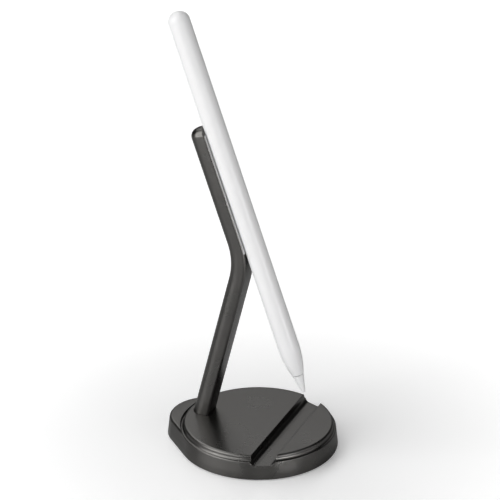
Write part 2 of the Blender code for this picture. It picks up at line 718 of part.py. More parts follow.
# Board pieces


def build_circuit_board():
    """Board in the lobe, with a notch for the inlet and holes for its screws."""
    board = add_object("circuit_board", prism(lobe_outline(LOBE_CAVITY_RADIUS - BOARD_INSET, BOARD_FRONT_Y),
                                              BOARD_BOTTOM, BOARD_TOP), laminate("board_laminate"))
    front = inlet_mouth_y() - USB_DEPTH - GAP
    rear = LOBE_Y + LOBE_CAVITY_RADIUS + OVERRUN
    notch = prism(rectangle(USB_WIDTH / 2 + GAP, (rear - front) / 2, (0.0, (rear + front) / 2)),
                  BOARD_BOTTOM - GAP, BOARD_TOP + GAP)
    cuts = [cutter("cut_notch", notch)]
    for number, side in enumerate((-1, 1), start=1):
        place = (side * BOSS_X, BOSS_Y)
        hole = cylinder(BOARD_SCREW_RADIUS + GAP, place, BOARD_BOTTOM - GAP, BOARD_TOP + GAP)
        cuts.append(cutter("cut_board_hole_%d" % number, hole))
    combine(board, cuts)


def inlet_mouth_y():
    """How far back the power inlet's mouth lies."""
    return LOBE_Y + LOBE_RADIUS - USB_RECESS


def build_power_inlet():
    """Receptacle shell, closed at its inner end, and the tongue inside it."""
    mouth = inlet_mouth_y()
    inner_end = mouth - USB_DEPTH
    middle = BOARD_TOP - USB_SINK + USB_HEIGHT / 2
    outside = rounded_rectangle(USB_WIDTH / 2, USB_HEIGHT / 2, USB_CORNER)
    inside = rounded_rectangle(USB_WIDTH / 2 - USB_WALL, USB_HEIGHT / 2 - USB_WALL, USB_CORNER - USB_WALL)
    shell = add_object("usb_receptacle", loft([[Vector((a, y, middle + b)) for a, b in outside]
                                               for y in (inner_end, mouth)]), nickel("receptacle_nickel"))
    hollow = loft([[Vector((a, y, middle + b)) for a, b in inside]
                   for y in (inner_end + USB_BACK_WALL, mouth + OVERRUN)])
    combine(shell, [cutter("cut_receptacle", hollow)])
    root = inner_end + USB_BACK_WALL + SOLDER_GAP
    tongue = [(a, b) for a, b in rectangle(TONGUE_WIDTH / 2, TONGUE_THICKNESS / 2)]
    add_object("usb_tongue", loft([[Vector((a, y, middle + b)) for a, b in tongue]
                                   for y in (root, root + TONGUE_LENGTH)]), dark_plastic("tongue_plastic"))


def build_board_parts():
    """Charge controller, inductor and the lead's connector."""
    level = BOARD_TOP + SOLDER_GAP
    middle = (BOARD_FRONT_Y + LOBE_Y) / 2
    lead = foot_place(0.0, BORE_DEPTH, FOOT_LEVEL)
    package = dark_ceramic("controller_package")
    parts = (("charge_controller", CONTROLLER_SIZE, (CONTROLLER_X, middle), package),
             ("power_inductor", INDUCTOR_SIZE, (INDUCTOR_X, middle), dark_ceramic("inductor_ferrite")),
             ("lead_connector", CONNECTOR_SIZE, lead, dark_plastic("connector_plastic")))
    for name, size, place, material in parts:
        piece = add_object(name, block(size), material)
        piece.location = (place[0], place[1], level)


def build_coil_lead():
    """The lead from the board's connector through the disc and up the post's bore to the coil."""
    place = foot_place(0.0, BORE_DEPTH, FOOT_LEVEL)
    bottom = Vector((place[0], place[1], BOARD_TOP + SOLDER_GAP + CONNECTOR_SIZE[2] + SOLDER_GAP))
    points = bore_path(Vector((place[0], place[1], FOOT_LEVEL)), MAGNET_INSET)
    body = tube([bottom] + points, LEAD_RADIUS, SCREW_STEPS // 2)
    add_object("coil_lead", body, dark_plastic("lead_jacket"))


# Post and cradle


def pad_sides(grow, front):
    """The pad's sides and back (across, behind the front), grown outwards, from left to right."""
    right = [(PAD_HALF_WIDTH + grow, PAD_BACK_DEPTH + grow), (PAD_HALF_WIDTH + grow, PAD_RIM_DEPTH + grow),
             (PAD_RIM_HALF_WIDTH + grow, PAD_RIM_DEPTH + grow), (PAD_RIM_HALF_WIDTH + grow, front)]
    return [(-a, b) for a, b in reversed(right)] + right


def build_post(cradle):
    """Bent bar of D section, with the cradle channel, the pad and coil pockets, the wire bore and holes."""
    section = post_section(0.0)
    loops = [level_loop(section, FOOT_LEVEL)]
    loops += [section_loop(point, lean, section) for point, lean in bend_stations()]
    for step in range(END_STEPS + 1):
        turn = math.radians(90.0) * step / END_STEPS
        along = POST_END - END_ROUND * (1.0 - math.sin(turn))
        inset = END_ROUND * (1.0 - math.cos(turn))
        loops.append([beside_stylus(along, a, AXIS_TO_FRONT + b) for a, b in post_section(inset)])
    post = add_object("post", loft(loops), gunmetal("post_metal"))

    around = ring((0.0, -AXIS_TO_FRONT), STYLUS_RADIUS + STYLUS_SEAT_GAP, STYLUS_STEPS)
    scoop = cutter("cut_channel", behind_front(around, PAD_START - CHANNEL_RUN, POST_END + OVERRUN))
    room = pad_sides(GAP, -PAD_BACK_DEPTH)
    pad_pocket = cutter("cut_pad_pocket", behind_front(room, PAD_START - GAP, PAD_END + GAP))
    coil_depth = COIL_POCKET_DEPTH - PAD_BACK_DEPTH
    coil_room = rectangle(COIL_POCKET_HALF_WIDTH, coil_depth / 2, (0.0, PAD_BACK_DEPTH + coil_depth / 2))
    coil_pocket = cutter("cut_coil_pocket", behind_front(coil_room, COIL_POCKET_START, COIL_POCKET_END))
    for local in (scoop, pad_pocket, coil_pocket):
        local.parent = cradle
    under = FOOT - LOWER_UP * OVERRUN + behind_leg(-LOWER_LEAN) * BORE_DEPTH
    bore = cutter("cut_bore", tube(bore_path(under, OVERRUN), BORE_RADIUS, SCREW_STEPS))
    cuts = [scoop, pad_pocket, coil_pocket, bore]
    for number, side in enumerate((-1, 1), start=1):
        place = foot_place(side * BOLT_X, BOLT_DEPTH, FOOT_LEVEL)
        hole = cylinder(BOLT_RADIUS + GAP, place, FOOT_LEVEL - OVERRUN, FOOT_LEVEL + BOLT_GRIP + GAP)
        cuts.append(cutter("cut_post_bolt_%d" % number, hole))
    combine(post, cuts)


def build_charging_pad(cradle):
    """Pad that lines the channel, hollowed for the stylus, its rim level with the post's front."""
    radius = STYLUS_RADIUS + STYLUS_SEAT_GAP
    spread = math.degrees(math.acos(AXIS_TO_FRONT / radius))
    hollow = arc((0.0, -AXIS_TO_FRONT), radius, 90.0 - spread, 90.0 + spread, BACK_STEPS)
    outline = hollow + pad_sides(0.0, corner_drop(PAD_RIM_HALF_WIDTH))
    body = behind_front(outline, PAD_START, PAD_END)
    pad = add_object("charging_pad", body, pad_silicone("pad_silicone"))
    pad.parent = cradle


def racetrack_ring(half_width, front):
    """A flat wound ring of rounded plan in the stylus's frame, its face at a distance behind the axis."""
    middle = (COIL_POCKET_START + COIL_POCKET_END) / 2
    half_length = COIL_LENGTH / 2
    back = front + COIL_THICKNESS
    round_radius = half_width - COIL_BAND / 2
    body = bmesh.new()
    rows = []
    plans = (rounded_rectangle(half_width, half_length, round_radius),
             rounded_rectangle(half_width - COIL_BAND, half_length - COIL_BAND, round_radius - COIL_BAND))
    for plan, levels in zip(plans, ((front, back), (back, front))):
        for level in levels:
            rows.append([body.verts.new((a, level, middle + b)) for a, b in plan])
    count = len(rows[0])
    for lower, upper in zip(rows, rows[1:] + rows[:1]):
        for index in range(count):
            following = (index + 1) % count
            body.faces.new((lower[index], lower[following], upper[following], upper[index]))
    return body


def magnet_starts():
    """Where the two holding magnets start, along the stylus."""
    return (COIL_POCKET_START + MAGNET_INSET, COIL_POCKET_END - MAGNET_INSET - MAGNET_LENGTH)


def build_charging_parts(cradle):
    """Transmit coil, its ferrite and the two holding magnets behind the pad."""
    front = PAD_BACK_DEPTH + GAP
    coil = racetrack_ring(COIL_HALF_WIDTH, AXIS_TO_FRONT + front)
    ferrite_front = front + COIL_THICKNESS + SOLDER_GAP
    plate = rectangle(MAGNET_HALF_WIDTH, FERRITE_THICKNESS / 2, (0.0, ferrite_front + FERRITE_THICKNESS / 2))
    start = (COIL_POCKET_START + COIL_POCKET_END - COIL_LENGTH) / 2
    ferrite = behind_front(plate, start, start + COIL_LENGTH)
    pieces = [add_object("transmit_coil", coil, copper("coil_copper")),
              add_object("coil_ferrite", ferrite, dark_ceramic("ferrite_plate"))]
    slab = rectangle(MAGNET_HALF_WIDTH, MAGNET_THICKNESS / 2, (0.0, front + MAGNET_THICKNESS / 2))
    for name, start in zip(("hold_magnet_lower", "hold_magnet_upper"), magnet_starts()):
        body = behind_front(slab, start, start + MAGNET_LENGTH)
        pieces.append(add_object(name, body, nickel(name + "_nickel")))
    for piece in pieces:
        piece.parent = cradle


# Stylus


def stylus_outline(distance):
    """Radius of the stylus at a distance from its tip, over the cone, the curved nose and the barrel."""
    if distance < TIP_LENGTH:
        share = distance / TIP_LENGTH
        return TIP_END_RADIUS + (TIP_RADIUS - TIP_END_RADIUS) * share
    if distance < NOSE_LENGTH:
        share = (distance - TIP_LENGTH) / (NOSE_LENGTH - TIP_LENGTH)
        return TIP_RADIUS + (STYLUS_RADIUS - TIP_RADIUS) * (1.0 - (1.0 - share) ** NOSE_CURVE)
    return STYLUS_RADIUS


def build_stylus_barrel(stylus):
    """Hollow barrel with a curved nose, open at the nose for the stud, and a domed far end."""
    steps = CORNER_STEPS + CORNER_STEPS + CORNER_STEPS
    start = TIP_LENGTH + GAP
    stations = [start + (NOSE_LENGTH - start) * step / steps for step in range(steps + 1)]
    outer = [(stylus_outline(station), station) for station in stations]
    dome = STYLUS_LENGTH - DOME_HEIGHT
    for step in range(steps):
        turn = math.radians(90.0) * step / steps
        outer.append((STYLUS_RADIUS * math.cos(turn), dome + DOME_HEIGHT * math.sin(turn)))
    outer.append((0.0, STYLUS_LENGTH))
    inner_radius = STYLUS_RADIUS - STYLUS_WALL
    inner = [(NOSE_BORE_RADIUS, start), (NOSE_BORE_RADIUS, NOSE_LENGTH - STYLUS_WALL),
             (inner_radius, NOSE_LENGTH + STYLUS_WALL), (inner_radius, dome), (0.0, dome)]
    body = hollow_turned(outer, inner, STYLUS_STEPS)
    barrel = add_object("stylus_barrel", body, white_plastic("barrel_plastic"))
    barrel.parent = stylus


def build_stylus_tip(stylus):
    """Replaceable tip: a cone with a round end and a socket for the stud."""
    steps = CORNER_STEPS
    outer = [(0.0, 0.0)]
    for step in range(1, steps + 1):
        turn = math.radians(90.0) * step / steps
        outer.append((TIP_END_RADIUS * math.sin(turn), TIP_END_RADIUS * (1.0 - math.cos(turn))))
    outer.append((TIP_RADIUS, TIP_LENGTH))
    socket = STUD_RADIUS + GAP
    inner = [(0.0, STUD_INSET - GAP), (socket, STUD_INSET - GAP), (socket, TIP_LENGTH)]
    tip = add_object("stylus_tip", hollow_turned(outer, inner, STYLUS_STEPS), white_plastic("tip_plastic"))
    body = turned([(STUD_RADIUS, STUD_INSET), (STUD_RADIUS, STUD_INSET + STUD_LENGTH)], SCREW_STEPS)
    stud = add_object("nib_stud", body, steel("stud_steel"))
    for piece in (tip, stud):
        piece.parent = stylus


def build_stylus_inside(stylus):
    """Battery, receiving coil, magnets and board inside the barrel."""
    battery_end = BATTERY_START + BATTERY_LENGTH
    battery = turned([(BATTERY_RADIUS, BATTERY_START), (BATTERY_RADIUS, battery_end)], SCREW_STEPS)
    coil = racetrack_ring(RECEIVE_COIL_HALF_WIDTH, RECEIVE_COIL_OFFSET)
    board_end = STYLUS_LENGTH - DOME_HEIGHT - STYLUS_BOARD_MARGIN
    plate = prism(rectangle(STYLUS_BOARD_HALF_WIDTH, STYLUS_BOARD_THICKNESS / 2),
                  board_end - STYLUS_BOARD_LENGTH, board_end)
    pieces = [add_object("stylus_battery", battery, nickel("battery_foil")),
              add_object("receive_coil", coil, copper("receive_copper")),
              add_object("stylus_board", plate, laminate("stylus_board_laminate"))]
    slab = rectangle(STYLUS_MAGNET_HALF_WIDTH, STYLUS_MAGNET_THICKNESS / 2,
                     (0.0, RECEIVE_COIL_OFFSET + STYLUS_MAGNET_THICKNESS / 2))
    for name, start in zip(("stylus_magnet_lower", "stylus_magnet_upper"), magnet_starts()):
        pieces.append(add_object(name, prism(slab, start, start + MAGNET_LENGTH), nickel(name + "_nickel")))
    for piece in pieces:
        piece.parent = stylus


def main():
    """Build the whole stand. Both frames stand at the stylus's tip, and the stylus slides with its own."""
    clear_scene()
    cradle = add_frame("cradle_frame", STYLUS_TIP, UPPER_LEAN)
    stylus = add_frame("stylus_frame", STYLUS_TIP, UPPER_LEAN)
    build_base_housing()
    build_top_disc()
    build_ballast_plate()
    build_bottom_cover()
    build_foot_pad()
    build_screws()
    build_circuit_board()
    build_power_inlet()
    build_board_parts()
    build_post(cradle)
    build_coil_lead()
    build_charging_pad(cradle)
    build_charging_parts(cradle)
    build_stylus_barrel(stylus)
    build_stylus_tip(stylus)
    build_stylus_inside(stylus)


main()
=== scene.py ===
"""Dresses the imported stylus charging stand: fine surfaces over its solids, finishes, studio and camera.

Lengths in the classes below are millimetres, and a mesh is put into metres when it is made. X runs across,
the front with the tablet groove faces -Y and Z is up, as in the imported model.
"""
from __future__ import annotations

import logging
import math
from dataclasses import dataclass, field
from enum import Enum

import bmesh
import bpy
import numpy as np
from mathutils import Matrix

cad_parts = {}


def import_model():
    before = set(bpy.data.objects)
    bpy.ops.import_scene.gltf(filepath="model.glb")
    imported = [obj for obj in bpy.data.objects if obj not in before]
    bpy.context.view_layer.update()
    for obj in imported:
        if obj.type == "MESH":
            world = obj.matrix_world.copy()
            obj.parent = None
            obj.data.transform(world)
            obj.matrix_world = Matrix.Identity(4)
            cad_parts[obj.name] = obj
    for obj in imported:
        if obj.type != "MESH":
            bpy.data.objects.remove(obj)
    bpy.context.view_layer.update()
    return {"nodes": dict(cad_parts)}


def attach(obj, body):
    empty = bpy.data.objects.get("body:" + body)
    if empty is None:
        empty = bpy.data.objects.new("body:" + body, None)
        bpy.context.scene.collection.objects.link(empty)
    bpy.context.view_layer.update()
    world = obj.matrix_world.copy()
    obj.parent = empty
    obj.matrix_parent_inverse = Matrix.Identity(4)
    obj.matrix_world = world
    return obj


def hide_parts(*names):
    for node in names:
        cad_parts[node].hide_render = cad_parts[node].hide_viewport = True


LOG = logging.getLogger("stand")
MM = 0.001
WELD = 1.0e-6  # metres within which two points of a surface become one
SHARP = math.radians(32.0)  # angle above which an edge is sharp
PAST = 1.0  # least length by which a cutting tool reaches past what it cuts
FAR_PAST = 4.0  # the same for a tool that leaves at a slant
ACROSS = np.array([1.0, 0.0, 0.0])
OTHER_SIDE = np.array([-1.0, 1.0, 1.0])


class Body(str, Enum):
    """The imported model's moving bodies."""

    STAND = "stand"
    STYLUS = "stylus"


# Shapes in two dimensions and frames


def arc(centre: tuple[float, float], radius: float, start: float, end: float, count: int) -> np.ndarray:
    """Points on a circle between two angles.

    Formula: centre + radius * (cos t, sin t), t evenly from start to end in degrees.

    Args:
        centre: The circle's centre.
        radius: Its radius.
        start: First angle in degrees.
        end: Last angle in degrees.
        count: How many points, both ends counted.

    Returns:
        An array of count rows and two columns.
    """
    turn = np.radians(np.linspace(start, end, count))
    return np.stack([centre[0] + radius * np.cos(turn), centre[1] + radius * np.sin(turn)], -1)


def ring(centre: tuple[float, float], radius: float, steps: int) -> np.ndarray:
    """Points of a whole circle, counter-clockwise."""
    return arc(centre, radius, 0.0, 360.0, steps + 1)[:-1]


def leg_up(lean: float) -> np.ndarray:
    """Upward direction of a leg that leans back by an angle in radians."""
    return np.array([0.0, math.sin(lean), math.cos(lean)])


def leg_back(lean: float) -> np.ndarray:
    """Backward direction, square to a leg that leans back by an angle in radians."""
    return np.array([0.0, math.cos(lean), -math.sin(lean)])


# Meshes


def linked(name: str, data: bpy.types.ID) -> bpy.types.Object:
    """Puts a new object into the scene.

    Args:
        name: The object's name.
        data: Its mesh, lamp or camera.

    Returns:
        The object.
    """
    thing = bpy.data.objects.new(name, data)
    bpy.context.scene.collection.objects.link(thing)
    return thing


def shade(mesh: bpy.types.Mesh) -> None:
    """Shades a mesh smooth between its sharp edges."""
    mesh.shade_smooth()
    mesh.set_sharp_from_angle(angle=SHARP)


@dataclass
class Surface:
    """Patches of points in millimetres that become one mesh."""

    points: list[np.ndarray] = field(default_factory=list)
    faces: list[list[int]] = field(default_factory=list)
    count: int = 0

    def grid(self, patch: np.ndarray, wrap: bool = False) -> Surface:
        """Adds a patch of quads.

        Args:
            patch: Points in rows and columns, of shape (rows, columns, 3).
            wrap: Whether the last column joins the first.

        Returns:
            This surface.
        """
        rows, columns = patch.shape[:2]
        index = np.arange(rows * columns).reshape(rows, columns) + self.count
        if wrap:
            index = np.hstack([index, index[:, :1]])
        quads = np.stack([index[:-1, :-1], index[:-1, 1:], index[1:, 1:], index[1:, :-1]], -1)
        self.points.append(patch.reshape(-1, 3))
        self.faces.extend(quads.reshape(-1, 4).tolist())
        self.count += rows * columns
        return self

    def cap(self, loop: np.ndarray) -> Surface:
        """Adds one flat face.

        Args:
            loop: Points round it.

        Returns:
            This surface.
        """
        self.points.append(loop)
        self.faces.append(list(range(self.count, self.count + len(loop))))
        self.count += len(loop)
        return self

    def make(self, name: str) -> bpy.types.Object:
        """Welds the patches into an object at the origin, its faces outwards.

        Args:
            name: The object's name.

        Returns:
            The new object, linked to the scene.
        """
        mesh = bpy.data.meshes.new(name)
        mesh.from_pydata((np.vstack(self.points) * MM).tolist(), [], self.faces)
        shape = bmesh.new()
        shape.from_mesh(mesh)
        bmesh.ops.remove_doubles(shape, verts=shape.verts, dist=WELD)
        bmesh.ops.recalc_face_normals(shape, faces=shape.faces)
        shape.to_mesh(mesh)
        shape.free()
        shade(mesh)
        return linked(name, mesh)


def swept(sections: np.ndarray) -> Surface:
    """A body through closed sections of shape (sections, points, 3), with a flat cap on either end."""
    return Surface().grid(sections, wrap=True).cap(sections[0]).cap(sections[-1])


def lifted(outline: np.ndarray, low: float, high: float) -> Surface:
    """An upright prism between two levels over an outline of (x, y) points."""
    levels = [np.column_stack([outline, np.full(len(outline), level)]) for level in (low, high)]
    return swept(np.stack(levels))


def turned(profile: np.ndarray, steps: int, wrap: bool = False) -> Surface:
    """A body turned about Z.

    Formula: (r cos a, r sin a, h) for each (r, h) of the profile and a evenly round the circle.

    Args:
        profile: Points (radius, height).
        steps: Columns round the axis.
        wrap: Whether the profile closes on itself.

    Returns:
        The surface.
    """
    turn = np.linspace(0.0, 2.0 * math.pi, steps, endpoint=False)
    if wrap:
        profile = np.vstack([profile, profile[:1]])
    radius, height = profile[:, 0, None], profile[:, 1, None]
    patch = np.stack([radius * np.cos(turn), radius * np.sin(turn), height + 0.0 * turn], -1)
    return Surface().grid(patch, wrap=True)


def placed(surface: Surface, origin: np.ndarray, lean: float) -> Surface:
    """Puts a surface that was made about Z onto a leg that leans back.

    Formula: origin + x * across + y * back + z * up.

    Args:
        surface: The surface, moved in place.
        origin: Where its own origin goes.
        lean: The leg's lean in radians.

    Returns:
        The same surface.
    """
    axes = np.stack([ACROSS, leg_back(lean), leg_up(lean)])
    surface.points = [points @ axes + origin for points in surface.points]
    return surface


def carve(piece: bpy.types.Object, tools: list[bpy.types.Object]) -> bpy.types.Object:
    """Cuts tools out of a piece and removes them.

    Args:
        piece: The object that is cut.
        tools: Closed objects that are cut out of it and then deleted.

    Returns:
        The piece, with the cuts applied to its mesh.
    """
    for tool in tools:
        cut = piece.modifiers.new(tool.name, "BOOLEAN")
        cut.operation = "DIFFERENCE"
        cut.solver = "EXACT"
        cut.object = tool
    graph = bpy.context.evaluated_depsgraph_get()
    mesh = bpy.data.meshes.new_from_object(piece.evaluated_get(graph))
    piece.modifiers.clear()
    piece.data = mesh
    shade(mesh)
    for tool in tools:
        bpy.data.objects.remove(tool)
    return piece


# Finishes

GRAIN_DETAIL = 3.0
DRIFT_DETAIL = 4.0
DRIFT_RANGE = (0.3, 0.7)  # values between which nearly all of the drift's noise lies
BUMP_STRENGTH = 0.5


def add(tree: bpy.types.NodeTree, kind: str, values: dict[str, object] | None = None) -> bpy.types.Node:
    """Adds a shader node.

    Args:
        tree: The material's tree or the group.
        kind: The node's type without its ShaderNode.
        values: Values of its inputs by their names.

    Returns:
        The node.
    """
    node = tree.nodes.new("ShaderNode" + kind)
    for label, value in (values or {}).items():
        node.inputs[label].default_value = value
    return node


def grain_group() -> bpy.types.NodeTree:
    """Group of a blasted or moulded surface: fine grain for height and broad drift for shade.

    Returns:
        The group, which is made once.
    """
    name = "surface_grain"
    if name in bpy.data.node_groups:
        return bpy.data.node_groups[name]
    group = bpy.data.node_groups.new(name, "ShaderNodeTree")
    for side, labels in (("INPUT", ("Grain Scale", "Drift Scale", "Roughness", "Spread")),
                         ("OUTPUT", ("Height", "Roughness", "Drift"))):
        for label in labels:
            group.interface.new_socket(label, in_out=side, socket_type="NodeSocketFloat")
    source, sink = group.nodes.new("NodeGroupInput").outputs, group.nodes.new("NodeGroupOutput").inputs
    link = group.links.new
    place = add(group, "TexCoord")
    grain = add(group, "TexNoise", {"Detail": GRAIN_DETAIL})
    drift = add(group, "TexNoise", {"Detail": DRIFT_DETAIL})
    spread = add(group, "MapRange", {"From Min": DRIFT_RANGE[0], "From Max": DRIFT_RANGE[1]})
    for noise, scale in ((grain, "Grain Scale"), (drift, "Drift Scale")):
        link(place.outputs["Object"], noise.inputs["Vector"])
        link(source[scale], noise.inputs["Scale"])
    for operation, end in (("SUBTRACT", "To Min"), ("ADD", "To Max")):
        node = add(group, "Math")
        node.operation = operation
        link(source["Roughness"], node.inputs[0])
        link(source["Spread"], node.inputs[1])
        link(node.outputs["Value"], spread.inputs[end])
    link(drift.outputs["Fac"], spread.inputs["Value"])
    link(grain.outputs["Fac"], sink["Height"])
    link(spread.outputs["Result"], sink["Roughness"])
    link(drift.outputs["Fac"], sink["Drift"])
    return group


@dataclass(frozen=True)
class Finish:
    """A finish with a fine grain and a colour that drifts between two shades.

    The scales are per metre, and the grain's depth is in metres.
    """

    name: str
    dark: tuple[float, float, float]
    light: tuple[float, float, float]
    roughness: float
    metallic: float = 0.0
    spread: float = 0.04
    grain_scale: float = 6000.0
    drift_scale: float = 40.0
    depth: float = 0.00001

    def material(self) -> bpy.types.Material:
        """Builds the finish as a material.

        Returns:
            A node material. Two pieces with one finish share it.
        """
        if self.name in bpy.data.materials:
            return bpy.data.materials[self.name]
        material = bpy.data.materials.new(self.name)
        material.use_nodes = True
        tree, link = material.node_tree, material.node_tree.links.new
        shader = tree.nodes["Principled BSDF"]
        shader.inputs["Metallic"].default_value = self.metallic
        effect = tree.nodes.new("ShaderNodeGroup")
        effect.node_tree = grain_group()
        for label, value in (("Grain Scale", self.grain_scale), ("Drift Scale", self.drift_scale),
                             ("Roughness", self.roughness), ("Spread", self.spread)):
            effect.inputs[label].default_value = value
        shades = add(tree, "ValToRGB")
        for stop, position, colour in zip(shades.color_ramp.elements, DRIFT_RANGE, (self.dark, self.light)):
            stop.position, stop.color = position, (*colour, 1.0)
        bump = add(tree, "Bump", {"Strength": BUMP_STRENGTH, "Distance": self.depth})
        link(effect.outputs["Drift"], shades.inputs["Fac"])
        link(shades.outputs["Color"], shader.inputs["Base Color"])
        link(effect.outputs["Roughness"], shader.inputs["Roughness"])
        link(effect.outputs["Height"], bump.inputs["Height"])
        link(bump.outputs["Normal"], shader.inputs["Normal"])
        return material


METAL = Finish("dark_anodised", (0.126, 0.123, 0.118), (0.139, 0.135, 0.129), 0.29, metallic=1.0,
               depth=0.000004)
WHITE = Finish("white_satin", (0.86, 0.86, 0.865), (0.88, 0.88, 0.88), 0.32, depth=0.000004, drift_scale=25.0)
SILICONE = Finish("grey_silicone", (0.10, 0.10, 0.105), (0.12, 0.12, 0.125), 0.55, spread=0.06)
PAD = Finish("soft_pad", (0.40, 0.40, 0.40), (0.43, 0.43, 0.43), 0.45, spread=0.05)
STEEL = Finish("plain_steel", (0.50, 0.50, 0.49), (0.60, 0.60, 0.59), 0.34, metallic=1.0, spread=0.08)
NICKEL = Finish("nickel_plate", (0.58, 0.56, 0.52), (0.66, 0.64, 0.60), 0.22, metallic=1.0, spread=0.05)
COPPER = Finish("enamelled_copper", (0.62, 0.28, 0.14), (0.78, 0.42, 0.24), 0.35, metallic=1.0, spread=0.06)
BOARD = Finish("green_laminate", (0.02, 0.13, 0.06), (0.03, 0.20, 0.09), 0.4, spread=0.08, drift_scale=300.0)
CERAMIC = Finish("dark_ceramic", (0.03, 0.03, 0.033), (0.045, 0.045, 0.048), 0.6, spread=0.05)
BLACK = Finish("black_plastic", (0.03, 0.03, 0.033), (0.04, 0.04, 0.044), 0.45, spread=0.05)


def dress(piece: bpy.types.Object, finish: Finish) -> None:
    """Gives a whole object one finish."""
    piece.data.materials.clear()
    piece.data.materials.append(finish.material())


def report(piece: bpy.types.Object, body: Body, node: str) -> None:
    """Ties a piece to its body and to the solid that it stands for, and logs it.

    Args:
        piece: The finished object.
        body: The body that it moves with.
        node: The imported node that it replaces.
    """
    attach(piece, body.value)
    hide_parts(node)
    LOG.info("%s rides on %s in place of %s", piece.name, body.value, node)


# The base


@dataclass(frozen=True)
class Groove:
    """Section of the tablet groove, from its front lip to its rear one."""

    front: float = -18.55
    rear: float = -8.95
    top: float = 10.3
    floor: float = 6.4
    corner: float = 2.1
    draft: float = 0.25
    lip: float = 0.2
    lip_steps: int = 6
    corner_steps: int = 19

    def section(self) -> np.ndarray:
        """The groove's shape: lip, wall, corner, floor, corner, wall, lip.

        Returns:
            Points (y, z), y rising.
        """
        level = self.floor + self.corner
        near = self.front + self.draft + self.corner
        far = self.rear - self.draft - self.corner
        return np.vstack([
            arc((self.front - self.lip, self.top - self.lip), self.lip, 90.0, 0.0, self.lip_steps),
            arc((near, level), self.corner, 180.0, 270.0, self.corner_steps),
            arc((far, level), self.corner, 270.0, 360.0, self.corner_steps),
            arc((self.rear + self.lip, self.top - self.lip), self.lip, 180.0, 90.0, self.lip_steps),
        ])


def cross_level(section: np.ndarray, level: float, copies: int) -> np.ndarray:
    """Puts points into a section wherever it crosses a level.

    Formula: y is read off linearly between the two points on either side of the level.

    Args:
        section: Points (y, z), y rising.
        level: The level.
        copies: How many points each crossing gets.

    Returns:
        The longer section.
    """
    before, after = section[:-1], section[1:]
    crossed = np.flatnonzero((before[:, 1] - level) * (after[:, 1] - level) < 0.0)
    before, after = before[crossed], after[crossed]
    share = (level - before[:, 1]) / (after[:, 1] - before[:, 1])
    y = before[:, 0] + share * (after[:, 0] - before[:, 0])
    points = np.column_stack([y, np.full(len(crossed), level)])
    return np.insert(section, np.repeat(crossed + 1, copies), np.repeat(points, copies, axis=0), axis=0)


def notched_arc(radius: np.ndarray, section: np.ndarray, end: float, steps: int) -> np.ndarray:
    """Right-hand arc from the front past the groove.

    Formula: y = r sin t, with t even from the front to the groove and from the groove to the end, and the
    groove's own y between, and x = sqrt(r^2 - y^2).

    Args:
        radius: The radius at each point.
        section: The groove's section, which the points between its two ends follow.
        end: The last point's angle in radians.
        steps: How many points lie behind the groove. A third as many lie before it.

    Returns:
        Points (x, y).
    """
    fronts = steps // 3
    lips = np.arcsin(section[[0, -1], 0] / radius[:, None])
    before, behind = lips[:fronts, 0], lips[-steps:, 1]
    front = np.linspace(0.0, 1.0, fronts) * (before + math.pi / 2) - math.pi / 2
    rear = behind + np.linspace(0.0, 1.0, steps) * (end - behind)
    y = np.concatenate([radius[:fronts] * np.sin(front), section[1:-1, 0], radius[-steps:] * np.sin(rear)])
    return np.stack([np.sqrt(np.maximum(radius ** 2 - y ** 2, 0.0)), y], -1)


